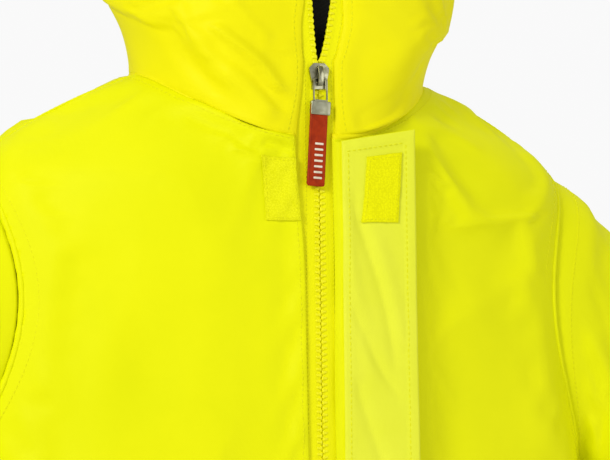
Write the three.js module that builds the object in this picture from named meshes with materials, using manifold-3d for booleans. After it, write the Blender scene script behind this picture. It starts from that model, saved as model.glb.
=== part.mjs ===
// A foul weather jacket in high-visibility cloth, standing in the shape of its wearer: three body panels, set-in
// sleeves, a three-panel hood, a front zip with its slider and pull, and a storm flap folded open beside it.
// Millimetres. +Z is up, the front faces -Y, and +X is the wearer's left. The origin is the middle of the neck,
// level with the neck seam at the shoulders.
import * as THREE from "three";
import { mergeVertices } from "three/addons/utils/BufferGeometryUtils.js";
import Module from "manifold-3d";

const wasm = await Module();
wasm.setup();

// ---------- driving dimensions ----------
const BODY_LENGTH = 740; // neck seam at the shoulder down to the hem
const HEM_HALF_WIDTH = 240;
const CHEST_HALF_WIDTH = 230;
const SHOULDER_HALF_WIDTH = 205;
const SHOULDER_DROP = 62; // neck seam down to the shoulder point
const NECK_HALF_WIDTH = 100;
const NECK_BACK = 74; // depth of the neck behind its middle
const NECK_FRONT = 98; // depth of the neck in front of its middle
const NECK_DROP = 40; // how much lower the neck seam is at the front
const NECK_RISE = 12; // how much higher it is at the back
const CHEST_BACK = 142;
const CHEST_DEPTH_BELOW_NECK = 230; // height of the fullest chest below the neck
const WAIST_BACK = 140;
const HEM_BACK = 152;
const FRONT_LEAN = 0.1; // the front edge runs forward by this share of the way down

const FLAT_HALF = 46; // half the flat strip down the front

const SHELL = 1.6; // shell cloth with its seam allowance
const LINING = 1;
const TRIM = 0.9; // reflective tape, facings and tabs
const PILE = 1.4; // hook or loop tape
const GAP = 0.7; // between cloth layers that lie on each other

const ZIP_EDGE = 11; // middle of the zip to the folded edge of a front panel
const ZIP_TAPE_WIDTH = 13;
const ZIP_TAPE = 0.7;
const ZIP_TAPE_DEPTH = 0.95; // middle of the tape behind the panel's inner face
const TOOTH_PITCH = 3.9;
const TOOTH_REACH = 2.2; // bead edge to tooth tip
const TOOTH_THICKNESS = 2.8;
const CHAIN_HALF_GAP = 1.2; // room for the slider's wedge between the two rows
const ZIP_ABOVE = 108; // zip above the neck seam
const ZIP_BELOW = 688; // zip below the neck seam
const ZIP_OPENING_RIGHT = 4; // how far each row has parted at PART_HEIGHT
const ZIP_OPENING_LEFT = 11;
const PART_HEIGHT = 88;

const SLIDER_HEIGHT = 40; // middle of the slider above the neck seam
const SLIDER_LENGTH = 17;
const SLIDER_WIDTH = 13.4;
const SLIDER_PLATE = 1.1;
const SLIDER_CLEAR = 0.4;
const WIRE = 1.3;
const LOOP_WIDTH = 9;
const LOOP_LENGTH = 16;
const CLAMP_WIDTH = 13.4;
const CLAMP_HEIGHT = 8.6;
const CLAMP_DEPTH = 3.6;
const TAG_WIDTH = 11.4;
const TAG_LENGTH = 54;
const TAG_DEPTH = 2;

const FLAP_WIDTH = 52;
const FLAP_FOLD = 13; // middle of the zip to the storm flap's fold
const FLAP_LIFT = 5.8; // hinge line of the fold in front of the panel's inner face
const FLAP_ABOVE_HEM = 22;
const FLAP_RISE = 9; // the top edge climbs by this much across the flap
const PILE_WIDTH = 25;
const PILE_LENGTH = 40;
const HOOK_START = 18; // fold to hook tape
const PILE_TOP = 14; // neck seam to the top loop tape
const HOOK_TOP = 15;
const PILE_STEP = 205;
const PILE_COUNT = 4;

const ARMHOLE_HEIGHT = 224;
const ARMHOLE_WIDTH = 144;
const SLEEVE_CLEAR = 7; // sleeve to the side of the body, under the arm
const BICEPS_HALF = 60; // across
const BICEPS_DEPTH = 82; // front to back
const ELBOW_HALF = 55;
const ELBOW_DEPTH = 67;
const CUFF_HALF = 43;
const CUFF_DEPTH = 50;
const UPPER_ARM = 165;
const FOREARM = 195;
const ARM_SPREAD = 14; // degrees from hanging straight down
const ELBOW_BEND = 11; // degrees that the forearm comes forward

const BAND_WIDTH = 50;
const BAND_HEIGHTS = [-395, -560];
const POCKET_START = 62; // front edge to pocket
const POCKET_WIDTH = 150;
const POCKET_DEPTH = 140;
const POCKET_TOP = -462;
const POCKET_FLAP = 52;
const CUFF_TAB_WIDTH = 26;

const COLOURS = {
  shell: 0xe9ec1c,
  facing: 0xe6ea52,
  pile: 0xe2de1a,
  lining: 0x23241f,
  tape: 0xe3df10,
  teeth: 0xe6e224,
  steel: 0xb4b2a8,
  tag: 0x9a1f08,
  reflective: 0xb9bdc0,
};

// ---------- small tools ----------
const V = (x, y, z) => new THREE.Vector3(x, y, z);
const mix = (a, b, k) => a + (b - a) * k;
const degrees = THREE.MathUtils.degToRad;
const smoothstep = THREE.MathUtils.smoothstep;
const spread = (from, to, steps) => Array.from({ length: steps + 1 }, (_, i) => mix(from, to, i / steps));
const jacket = new THREE.Group();

function materialOf(slot) {
  const metal = slot === "steel";
  return new THREE.MeshStandardMaterial({
    color: COLOURS[slot],
    roughness: metal ? 0.35 : slot === "tag" ? 0.5 : 0.85,
    metalness: metal ? 1 : 0,
  });
}

function add(name, geometry, slot, group = jacket) {
  const mesh = new THREE.Mesh(geometry, materialOf(slot));
  mesh.name = name;
  group.add(mesh);
  return mesh;
}

// The rows of a table, run through smoothly: row 1.5 is half way between rows 1 and 2.
function smoothRow(table, at) {
  const i = Math.min(Math.max(Math.floor(at), 0), table.length - 2);
  const k = at - i;
  const row = (j) => table[Math.min(Math.max(j, 0), table.length - 1)];
  return table[i].map((_, c) => {
    const [a, b, d, e] = [row(i - 1)[c], row(i)[c], row(i + 1)[c], row(i + 2)[c]];
    return b + 0.5 * k * (d - a + k * (2 * a - 5 * b + 4 * d - e + k * (3 * (b - d) + e - a)));
  });
}

function toSolid(geometry) {
  const bare = geometry.clone();
  for (const key of Object.keys(bare.attributes)) if (key !== "position") bare.deleteAttribute(key);
  const merged = mergeVertices(bare, 1e-3);
  return new wasm.Manifold(
    new wasm.Mesh({
      numProp: 3,
      vertProperties: merged.attributes.position.array,
      triVerts: new Uint32Array(merged.index.array),
    }),
  );
}

function toGeometry(solid) {
  const mesh = solid.getMesh();
  const geometry = new THREE.BufferGeometry();
  geometry.setAttribute("position", new THREE.BufferAttribute(new Float32Array(mesh.vertProperties), 3));
  geometry.setIndex(new THREE.BufferAttribute(new Uint32Array(mesh.triVerts), 1));
  geometry.computeVertexNormals();
  return geometry;
}

const without = (geometry, ...cutters) =>
  toGeometry(cutters.reduce((left, cutter) => left.subtract(toSolid(cutter)), toSolid(geometry)));

const joined = (...pieces) =>
  toGeometry(pieces.slice(1).reduce((whole, piece) => whole.add(toSolid(piece)), toSolid(pieces[0])));

// A closed sheet of cloth between two depths of a surface. place(u, v, depth) gives its points; a tube's columns wrap.
function sheet(place, us, vs, inner, outer, tube = false) {
  const points = [];
  for (const depth of [outer, inner]) for (const v of vs) for (const u of us) points.push(place(u, v, depth));
  const columns = us.length;
  const layer = columns * vs.length;
  const at = (side, i, j) => side * layer + j * columns + (i % columns);
  const faces = [];
  const quad = (a, b, c, d) => faces.push(a, b, c, a, c, d);
  const across = tube ? columns : columns - 1;
  for (let j = 0; j < vs.length - 1; j++)
    for (let i = 0; i < across; i++) {
      quad(at(0, i, j), at(0, i + 1, j), at(0, i + 1, j + 1), at(0, i, j + 1));
      quad(at(1, i, j), at(1, i, j + 1), at(1, i + 1, j + 1), at(1, i + 1, j));
    }
  const last = vs.length - 1;
  for (let i = 0; i < across; i++) {
    quad(at(1, i, 0), at(1, i + 1, 0), at(0, i + 1, 0), at(0, i, 0));
    quad(at(0, i, last), at(0, i + 1, last), at(1, i + 1, last), at(1, i, last));
  }
  for (let j = 0; j < last && !tube; j++) {
    quad(at(0, 0, j), at(0, 0, j + 1), at(1, 0, j + 1), at(1, 0, j));
    quad(at(1, columns - 1, j), at(1, columns - 1, j + 1), at(0, columns - 1, j + 1), at(0, columns - 1, j));
  }
  const geometry = new THREE.BufferGeometry();
  geometry.setAttribute("position", new THREE.Float32BufferAttribute(points.flatMap((p) => [p.x, p.y, p.z]), 3));
  geometry.setIndex(volumeOf(points, faces) < 0 ? faces.reverse() : faces);
  geometry.computeVertexNormals();
  return geometry;
}

function volumeOf(points, faces) {
  let six = 0;
  for (let i = 0; i < faces.length; i += 3) {
    const [a, b, c] = [points[faces[i]], points[faces[i + 1]], points[faces[i + 2]]];
    six += a.dot(b.clone().cross(c));
  }
  return six / 6;
}

// Turns a surface without depth into one with it: points move along the surface's outward normal.
function thick(surface, outward) {
  return (u, v, depth, du = 1e-3, dv = 1e-3) => {
    const p = surface(u, v);
    const along = surface(u + du, v).sub(surface(u - du, v));
    const up = surface(u, v + dv).sub(surface(u, v - dv));
    const normal = along.cross(up).normalize();
    if (normal.dot(outward(p)) < 0) normal.negate();
    return p.addScaledVector(normal, depth);
  };
}

// A flat outline in X and Z, given its thickness along Y, towards the front from -front to -back.
function slab(outline, back, front) {
  const shape = new THREE.Shape(outline.map(([x, z]) => new THREE.Vector2(x, z)));
  const geometry = new THREE.ExtrudeGeometry(shape, { depth: front - back, bevelEnabled: false, curveSegments: 4 });
  return geometry.rotateX(Math.PI / 2).translate(0, -back, 0);
}

// A box in the same axes as slab: x and z ranges, back and front depths.
const block = (x0, x1, z0, z1, back, front) => slab([[x0, z0], [x1, z0], [x1, z1], [x0, z1]], back, front);

// ---------- the body's surface ----------
const frontLineY = (z) => -NECK_FRONT + FRONT_LEAN * (z + NECK_DROP);
const SHOULDER_SLOPE = [0.65, 0.33, 0.12]; // heights of the rings between the shoulder point and the neck

// Each ring of the body: height of its sides, half width, back depth, squareness, drop at the front.
const bodyRows = [
  [-BODY_LENGTH, HEM_HALF_WIDTH, HEM_BACK, 2.5, 0],
  [mix(-BODY_LENGTH, -CHEST_DEPTH_BELOW_NECK, 0.28), mix(HEM_HALF_WIDTH, CHEST_HALF_WIDTH, 0.6), WAIST_BACK + 4, 2.5, 0],
  [mix(-BODY_LENGTH, -CHEST_DEPTH_BELOW_NECK, 0.57), CHEST_HALF_WIDTH, WAIST_BACK, 2.5, 0],
  [mix(-BODY_LENGTH, -CHEST_DEPTH_BELOW_NECK, 0.82), CHEST_HALF_WIDTH + 1, CHEST_BACK + 1, 2.4, 0],
  [-CHEST_DEPTH_BELOW_NECK, CHEST_HALF_WIDTH, CHEST_BACK, 2.4, 0],
  [mix(-CHEST_DEPTH_BELOW_NECK, -SHOULDER_DROP, 0.48), CHEST_HALF_WIDTH - 4, mix(CHEST_BACK, NECK_BACK, 0.18), 2.3, 3],
  [mix(-CHEST_DEPTH_BELOW_NECK, -SHOULDER_DROP, 0.8), mix(CHEST_HALF_WIDTH, SHOULDER_HALF_WIDTH, 0.45),
    mix(CHEST_BACK, NECK_BACK, 0.42), 2.2, NECK_DROP * 0.2],
  [-SHOULDER_DROP, SHOULDER_HALF_WIDTH, mix(CHEST_BACK, NECK_BACK, 0.64), 2.15, NECK_DROP * 0.38],
  ...SHOULDER_SLOPE.map((k, i) => [
    -SHOULDER_DROP * k,
    mix(NECK_HALF_WIDTH, SHOULDER_HALF_WIDTH, [0.76, 0.43, 0.165][i]),
    mix(NECK_BACK, CHEST_BACK, [0.21, 0.09, 0.03][i]),
    [2.1, 2.05, 2][i],
    NECK_DROP * [0.6, 0.82, 0.95][i],
  ]),
  [0, NECK_HALF_WIDTH, NECK_BACK, 2, NECK_DROP],
];
const NECK_ROW = bodyRows.length - 1;
const RING_STEPS = 72;

// The half ring on the wearer's left, from the middle of the front (angle -90) to the middle of the back (angle 90).
function ringPoint(row, angle) {
  const [height, half, back, squareness, drop] = row;
  const front = frontLineY(height - drop);
  const [c, s] = [Math.cos(angle), Math.sin(angle)];
  const share = 2 / squareness;
  const x = half * Math.max(c, 0) ** share;
  const round = (front + back) / 2 + ((back - front) / 2) * Math.sign(s) * Math.abs(s) ** share;
  const y = s < 0 ? mix(front, round, smoothstep(x, ZIP_EDGE, FLAT_HALF)) : round;
  const z = height + (s < 0 ? -drop * s * s : (drop / NECK_DROP) * NECK_RISE * s * s);
  return V(x, y, z);
}

const ringCache = new Map();
function halfRing(v) {
  if (!ringCache.has(v)) {
    const row = smoothRow(bodyRows, v);
    const points = spread(-Math.PI / 2, Math.PI / 2, RING_STEPS).map((angle) => ringPoint(row, angle));
    const lengths = [0];
    for (let i = 1; i < points.length; i++) lengths.push(lengths[i - 1] + points[i].distanceTo(points[i - 1]));
    ringCache.set(v, { points, lengths, total: lengths[RING_STEPS] });
  }
  return ringCache.get(v);
}

// A point of the body. s is the distance round the ring from the middle of the front, positive to the wearer's left.
function bodyPoint(s, v) {
  const ring = halfRing(v);
  const wrapped = s > ring.total ? s - 2 * ring.total : s < -ring.total ? s + 2 * ring.total : s;
  const reach = Math.abs(wrapped);
  let i = ring.lengths.findIndex((length) => length >= reach);
  i = i < 1 ? 1 : i;
  const k = (reach - ring.lengths[i - 1]) / (ring.lengths[i] - ring.lengths[i - 1]);
  const p = ring.points[i - 1].clone().lerp(ring.points[i], k);
  if (wrapped < 0) p.x = -p.x;
  return p;
}

const bodyMiddle = (p) => V(p.x, p.y - 10, Math.max(0, p.z + SHOULDER_DROP * 1.4) * 2);
const thickBody = thick(bodyPoint, bodyMiddle);
const body = (s, v, depth) => thickBody(s, v, depth, 0.5, 0.01);

// The row at which a ring's sides stand at a height.
function rowAtHeight(z) {
  let [low, high] = [0, NECK_ROW];
  for (let i = 0; i < 40; i++) {
    const middle = (low + high) / 2;
    if (smoothRow(bodyRows, middle)[0] < z) low = middle;
    else high = middle;
  }
  return low;
}

const SIDE_SEAM_SHARE = 0.49; // of the half ring, from the front
const sideSeam = (v) => halfRing(v).total * SIDE_SEAM_SHARE;
const frontColumns = [0, 0.07, 0.18, 0.3, 0.43, 0.56, 0.68, 0.79, 0.9, 1];
const backColumns = [...frontColumns.slice(1).reverse().map((k) => -k), ...frontColumns];
const bodyHeights = [...spread(0, 4, 8), 4.6, 5.2, 5.8, 6.4, 7, 7.5, 8, 8.6, 9.2, 9.8, 10.4, NECK_ROW - 0.06];

// Front panels run from the zip's edge (u 0) to the side seam (u 1), the back panel from seam to seam through u 0.
const SEAM_GAP = 0.5;
const front = (side) => (u, v, depth) => body(side * mix(ZIP_EDGE, sideSeam(v) - SEAM_GAP, u), v, depth);
const back = (u, v, depth) => {
  const { total } = halfRing(v);
  return body(total - u * (total - sideSeam(v) - SEAM_GAP), v, depth);
};

// ---------- armholes ----------
const ARMHOLE_TOP = -SHOULDER_DROP + 5;
const armholeMiddle = V(0, 4, ARMHOLE_TOP - ARMHOLE_HEIGHT / 2);

function armholeCutter(side) {
  const shape = new THREE.Shape();
  shape.absellipse(0, 0, ARMHOLE_WIDTH / 2, ARMHOLE_HEIGHT / 2, 0, 2 * Math.PI);
  const depth = CHEST_HALF_WIDTH;
  const geometry = new THREE.ExtrudeGeometry(shape, { depth, bevelEnabled: false, curveSegments: 20 });
  geometry.rotateX(Math.PI / 2).rotateZ(Math.PI / 2);
  return geometry.translate(side > 0 ? depth / 2 : -depth * 1.5, armholeMiddle.y, armholeMiddle.z);
}

// How far out the body's side is at a point seen from the side.
function bodySideX(y, z) {
  const pointAt = (v) => {
    const row = smoothRow(bodyRows, v);
    let [low, high] = [-Math.PI / 2, Math.PI / 2];
    for (let i = 0; i < 30; i++) {
      const angle = (low + high) / 2;
      if (ringPoint(row, angle).y < y) low = angle;
      else high = angle;
    }
    return ringPoint(row, low);
  };
  let [low, high] = [1, NECK_ROW];
  for (let i = 0; i < 30; i++) {
    const middle = (low + high) / 2;
    if (pointAt(middle).z < z) low = middle;
    else high = middle;
  }
  return pointAt(low).x;
}

// ---------- sleeves ----------
const armSide = Math.sin(degrees(ARM_SPREAD));
const armDown = Math.cos(degrees(ARM_SPREAD));
const biceps = V(
  CHEST_HALF_WIDTH + SLEEVE_CLEAR + BICEPS_HALF,
  armholeMiddle.y,
  armholeMiddle.z - ARMHOLE_HEIGHT / 2 - 14,
);
const elbow = biceps.clone().add(V(armSide * UPPER_ARM, -2, -armDown * UPPER_ARM));
const bend = Math.sin(degrees(ELBOW_BEND)) * FOREARM;
const cuff = elbow.clone().add(V(armSide * FOREARM, -bend, -Math.sqrt((armDown * FOREARM) ** 2 - bend ** 2)));
const armLine = new THREE.CatmullRomCurve3([biceps, elbow, cuff]);
const CAP_SHARE = 0.3; // of the sleeve's rows, from the armhole down to the biceps
const sleeveRows = [
  [BICEPS_HALF, BICEPS_DEPTH],
  [ELBOW_HALF, ELBOW_DEPTH],
  [CUFF_HALF, CUFF_DEPTH],
];

function sleeveRing(phi, k) {
  const centre = armLine.getPoint(k);
  const along = armLine.getTangent(k);
  const outwards = V(-along.z, 0, along.x).normalize();
  const backwards = along.clone().cross(outwards).normalize();
  if (backwards.y < 0) backwards.negate();
  const [half, depth] = smoothRow(sleeveRows, 2 * k);
  return {
    along,
    point: centre.addScaledVector(outwards, half * Math.sin(phi)).addScaledVector(backwards, depth * Math.cos(phi)),
  };
}

const SLEEVE_ARMHOLE_GAP = 1.2;
const armholeCache = new Map();
function armholePoint(phi) {
  if (!armholeCache.has(phi)) {
    const y = armholeMiddle.y + (ARMHOLE_WIDTH / 2 - SLEEVE_ARMHOLE_GAP - SHELL) * Math.cos(phi);
    const z = armholeMiddle.z + (ARMHOLE_HEIGHT / 2 - SLEEVE_ARMHOLE_GAP - SHELL) * Math.sin(phi);
    armholeCache.set(phi, V(bodySideX(y, z), y, z));
  }
  return armholeCache.get(phi).clone();
}

// The wearer's left sleeve: phi goes round it, w goes from the armhole (0) to the cuff (1).
function sleevePoint(phi, w) {
  if (w >= CAP_SHARE) return sleeveRing(phi, (w - CAP_SHARE) / (1 - CAP_SHARE)).point;
  const k = w / CAP_SHARE;
  const from = armholePoint(phi);
  const { point: to, along } = sleeveRing(phi, 0);
  const pull = from.distanceTo(to) * 1.1;
  const leave = V(0.9, 0, -0.44).multiplyScalar(pull);
  const arrive = along.clone().multiplyScalar(pull);
  const [a, b] = [2 * k ** 3 - 3 * k ** 2 + 1, k ** 3 - 2 * k ** 2 + k];
  return from.multiplyScalar(a).addScaledVector(leave, b).addScaledVector(to, 1 - a)
    .addScaledVector(arrive, k ** 3 - k ** 2);
}

const sleeveAxis = (p) => {
  const k = THREE.MathUtils.clamp((p.z - biceps.z) / (cuff.z - biceps.z), 0, 1);
  const from = k > 0 ? armLine.getPoint(k) : V(biceps.x - 40, biceps.y, Math.min(p.z, armholeMiddle.z));
  return p.clone().sub(from);
};
const thickSleeve = thick(sleevePoint, sleeveAxis);
const mirrored = (surface, side) => (u, v, depth) => {
  const p = surface(u, v, depth);
  p.x *= side;
  return p;
};
const sleeve = (side) => mirrored((phi, w, depth) => thickSleeve(phi, Math.max(w, 2e-3), depth, 0.02, 1e-3), side);
const ringOf = (steps) => spread(0, 2 * Math.PI, steps).slice(0, -1);
const sleeveHeights = [0, 0.03, 0.07, 0.12, 0.18, 0.24, 0.3, 0.4, 0.5, 0.6, 0.7, 0.8, 0.9, 1];

// ---------- hood ----------
// Each row runs from the middle of the back round to the front edge: back [y, z], side, front and edge points.
const neckRing = (share) => bodyPoint(mix(ZIP_EDGE, halfRing(NECK_ROW).total, share), NECK_ROW);
const onFront = (x, above) => V(x, frontLineY(above - NECK_DROP), above - NECK_DROP);
const CHIN = ZIP_ABOVE + 4;
const hoodSide = (wider, y, z) => V(NECK_HALF_WIDTH + wider, y, z);
const hoodRows = [
  { back: neckRing(1), side: neckRing(0.5), front: neckRing(0.25), edge: neckRing(0) },
  { back: V(0, NECK_BACK + 10, 45), side: hoodSide(7, -10, 28), front: hoodSide(-29, -81, 2), edge: onFront(ZIP_EDGE, 0.29 * CHIN) },
  { back: V(0, NECK_BACK + 25, 92), side: hoodSide(22, -6, 62), front: hoodSide(-17, -78, 36), edge: onFront(ZIP_EDGE, 0.63 * CHIN) },
  { back: V(0, NECK_BACK + 40, 145), side: hoodSide(31, 0, 108), front: hoodSide(-10, -72, 82), edge: onFront(ZIP_EDGE, CHIN) },
  { back: V(0, NECK_BACK + 48, 200), side: hoodSide(33, 8, 168), front: hoodSide(9, -58, 144), edge: hoodSide(-34, -92, 112) },
  { back: V(0, NECK_BACK + 44, 260), side: hoodSide(29, 10, 226), front: hoodSide(17, -45, 206), edge: hoodSide(-2, -86, 180) },
  { back: V(0, NECK_BACK + 14, 314), side: hoodSide(19, 0, 283), front: hoodSide(13, -45, 262), edge: hoodSide(3, -84, 243) },
  { back: V(0, 25, 342), side: hoodSide(-3, -30, 320), front: hoodSide(-4, -62, 303), edge: hoodSide(-8, -88, 290) },
  { back: V(0, -48, 343), side: hoodSide(-26, -68, 326), front: hoodSide(-22, -86, 316), edge: hoodSide(-24, -99, 309) },
  { back: V(0, -112, 328), side: hoodSide(-56, -110, 321), front: hoodSide(-40, -107, 314), edge: hoodSide(-32, -104, 309) },
].map((row) => ({ ...row, back: row.back.setX(0) }));
const BRIM_ROW = hoodRows.length - 1;
const COLUMNS = [0, 0.27, 0.54, 0.8, 1];

function hoodRowPoint(row, q) {
  const centre = V(0, row.side.y, row.side.z);
  const corner = centre.clone().addScaledVector(row.back.clone().sub(centre), Math.SQRT1_2);
  corner.x = row.side.x * Math.SQRT1_2;
  const behind = corner.clone().setX(-corner.x);
  const table = [row.back, corner, row.side, row.front, row.edge].map((p) => p.toArray());
  let column = COLUMNS.findIndex((c) => c > Math.abs(q)) - 1;
  column = column < 0 ? COLUMNS.length - 2 : column;
  const k = (Math.abs(q) - COLUMNS[column]) / (COLUMNS[column + 1] - COLUMNS[column]);
  const [x, y, z] = smoothRow([behind.toArray(), ...table], column + 1 + k);
  return [x, y, z];
}

// How far a zip row has parted from its place, above the slider. side is 1 on the wearer's left.
function parting(side, above) {
  const start = SLIDER_HEIGHT + SLIDER_LENGTH / 2 + 2;
  const k = Math.max(0, above - start) / (PART_HEIGHT - start);
  return (side > 0 ? ZIP_OPENING_LEFT : ZIP_OPENING_RIGHT) * (k < 1 ? k * k * (1.6 - 0.6 * k) : 1.4 * k - 0.4);
}

// The neck seam under the hood's first row.
function neckBelow(q) {
  const shares = [1, 0.75, 0.5, 0.25, 0];
  const i = Math.max(1, COLUMNS.findIndex((c) => c >= q));
  return neckRing(mix(shares[i - 1], shares[i], (q - COLUMNS[i - 1]) / (COLUMNS[i] - COLUMNS[i - 1])));
}

// q runs from the front edge on the wearer's right (-1) round the back (0) to the left one (1).
function hoodPoint(q, v) {
  const rows = hoodRows.map((row) => hoodRowPoint(row, q));
  const [x, y, z] = smoothRow(rows, v);
  const p = V(x, y, z);
  if (v < 1) p.addScaledVector(neckBelow(Math.min(Math.abs(q), 1)).sub(V(...rows[0])), (1 - v) ** 2);
  p.x *= Math.sign(q || 1);
  const edge = smoothstep(Math.abs(q), 0.8, 0.97) * (1 - smoothstep(v, 3, 3.7));
  p.y = mix(p.y, frontLineY(p.z), edge);
  const side = Math.sign(q || 1);
  p.x += side * parting(side, p.z + NECK_DROP) * smoothstep(Math.abs(q), 0.72, 1) * (1 - smoothstep(v, 3, 4));
  return p;
}
const hoodMiddle = V(0, -10, 150);
const thickHood = thick(hoodPoint, (p) => p.clone().sub(p.z < 120 ? V(0, -10, p.z) : hoodMiddle));
const hood = (q, v, depth) => thickHood(q, v, depth, 2e-3, 2e-3);

const HOOD_SEAM = 0.2; // half the middle panel's share of the hood
const HOOD_START = 0.2; // first row, just above the neck seam
const hoodHeights = [HOOD_START, 0.6, 1.2, 1.8, 2.4, 3, 3.5, 4, 4.6, 5.2, 5.8, 6.4, 7, 7.6, 8.2, 8.7, BRIM_ROW];

const hoodSides = [HOOD_SEAM + 0.005, 0.32, 0.44, 0.56, 0.68, 0.8, 0.9, 1];
const hoodMiddles = spread(-HOOD_SEAM, HOOD_SEAM, 4);

// ---------- layers, by depth from the shell's inner face ----------
const OVER = SHELL + GAP; // first layer on the outside
const PLACKET_DEPTH = -(ZIP_TAPE_DEPTH + SLIDER_PLATE + SLIDER_CLEAR + TOOTH_THICKNESS / 2 + GAP);
const LINING_DEPTH = PLACKET_DEPTH - TRIM - GAP;

function buildBody() {
  for (const [name, side] of [["right", -1], ["left", 1]]) {
    const panel = sheet(front(side), frontColumns, bodyHeights, 0, SHELL);
    add(`front_panel_${name}`, without(panel, armholeCutter(side)), "shell");
  }
  const panel = sheet(back, backColumns, bodyHeights, 0, SHELL);
  add("back_panel", without(panel, armholeCutter(1), armholeCutter(-1)), "shell");
}

function buildLining() {
  const start = ZIP_EDGE + 14;
  const columns = [...spread(0, 0.42, 5), ...spread(0.5, 1, 6)];
  const place = (u, v, depth) => {
    const { total } = halfRing(v);
    return body(u < 0 ? mix(-start, -total, 1 + u) : mix(start, total, 1 - u), v, depth);
  };
  const all = [...columns.slice(1).reverse().map((k) => -k), ...columns];
  const heights = [0.1, ...spread(0.7, 4, 4), 4.7, 5.4, 6.1, 6.8, 7.4, 8, 8.6, 9.2, 9.8, 10.4, NECK_ROW - 0.05];
  const lining = sheet(place, all, heights, LINING_DEPTH - LINING, LINING_DEPTH);
  add("body_lining", without(lining, armholeCutter(1), armholeCutter(-1)), "lining");
  const hoodColumns = [...hoodSides.slice(0, -1).reverse().map((q) => -q), ...hoodMiddles.slice(1, -1), ...hoodSides.slice(0, -1)];
  const hoodRowsUp = [HOOD_START + 0.02, ...hoodHeights.slice(1, -1), BRIM_ROW - 0.12];
  add("hood_lining", sheet(hood, hoodColumns, hoodRowsUp, -GAP - LINING, -GAP), "lining");
  for (const [name, side] of [["right", -1], ["left", 1]])
    add(
      `sleeve_lining_${name}`,
      sheet(sleeve(side), ringOf(18), [...sleeveHeights.slice(1, -1), 0.96], -GAP - LINING, -GAP, true),
      "lining",
      bodies[`sleeve_${name}`],
    );
}

function buildHood() {
  add("hood_panel_left", sheet(hood, hoodSides, hoodHeights, 0, SHELL), "shell");
  add("hood_panel_right", sheet(hood, hoodSides.map((q) => -q).reverse(), hoodHeights, 0, SHELL), "shell");
  add("hood_panel_middle", sheet(hood, hoodMiddles, hoodHeights, 0, SHELL), "shell");
}

function buildSleeve(name, side) {
  const group = bodies[`sleeve_${name}`];
  add(`sleeve_${name}`, sheet(sleeve(side), ringOf(18), sleeveHeights, 0, SHELL, true), "shell", group);
  const bandShare = BAND_WIDTH / (armLine.getLength() / (1 - CAP_SHARE));
  for (const [place, w] of [["upper", 0.42], ["lower", 0.7]])
    add(
      `sleeve_band_${place}_${name}`,
      sheet(sleeve(side), ringOf(18), [w, w + bandShare / 2, w + bandShare], OVER, OVER + TRIM, true),
      "reflective",
      group,
    );
  const cuffRows = [0.915, 0.95, 0.985];
  const closed = [degrees(100), degrees(118), degrees(136), degrees(154), degrees(172), degrees(190)];
  const tabShare = CUFF_TAB_WIDTH / (armLine.getLength() / (1 - CAP_SHARE));
  const tabRows = [cuffRows[1] - tabShare / 2, cuffRows[1], cuffRows[1] + tabShare / 2];
  add(`cuff_loop_tape_${name}`, sheet(sleeve(side), closed, tabRows, OVER, OVER + PILE, false), "pile", group);
  const tab = bodies[`cuff_tab_${name}`];
  const above = OVER + PILE + GAP;
  const hooks = closed.slice(2, 5);
  add(`cuff_hook_tape_${name}`, sheet(sleeve(side), hooks, tabRows, above, above + PILE, false), "pile", tab);
  const strap = [degrees(64), degrees(76), degrees(88), ...closed.slice(0, 5)];
  const top = above + PILE + GAP;
  const sewnDown = (phi, w, depth) => {
    const fall = (PILE + GAP) * 2 * (1 - smoothstep(phi, strap[0], closed[0]));
    return sleeve(side)(phi, w, depth - fall);
  };
  add(`cuff_tab_${name}`, sheet(sewnDown, strap, tabRows, top, top + SHELL, false), "shell", tab);
}

// ---------- reflective bands and pockets ----------
const rowOf = new Map(BAND_HEIGHTS.map((z) => [z, [rowAtHeight(z - BAND_WIDTH), rowAtHeight(z - BAND_WIDTH / 2), rowAtHeight(z)]]));
const linesBetween = (lines, from, to) => [from, ...lines.filter((k) => k > from + 0.01 && k < to - 0.01), to];

function buildBands() {
  BAND_HEIGHTS.forEach((z, i) => {
    const place = ["upper", "lower"][i];
    const clear = (FLAP_FOLD + FLAP_WIDTH * 0) / sideSeam(rowOf.get(z)[0]);
    for (const [name, side] of [["right", -1], ["left", 1]])
      add(
        `band_${place}_front_${name}`,
        sheet(front(side), linesBetween(frontColumns, clear, 0.995), rowOf.get(z), OVER, OVER + TRIM),
        "reflective",
      );
    const across = [-0.995, ...backColumns.slice(1, -1), 0.995];
    add(`band_${place}_back`, sheet(back, across, rowOf.get(z), OVER, OVER + TRIM), "reflective");
  });
}

const POCKET_LAYER = OVER + TRIM + GAP;
const pocketSpan = (v) => {
  const reach = sideSeam(v) - ZIP_EDGE;
  return [POCKET_START / reach, (POCKET_START + POCKET_WIDTH) / reach];
};

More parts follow.
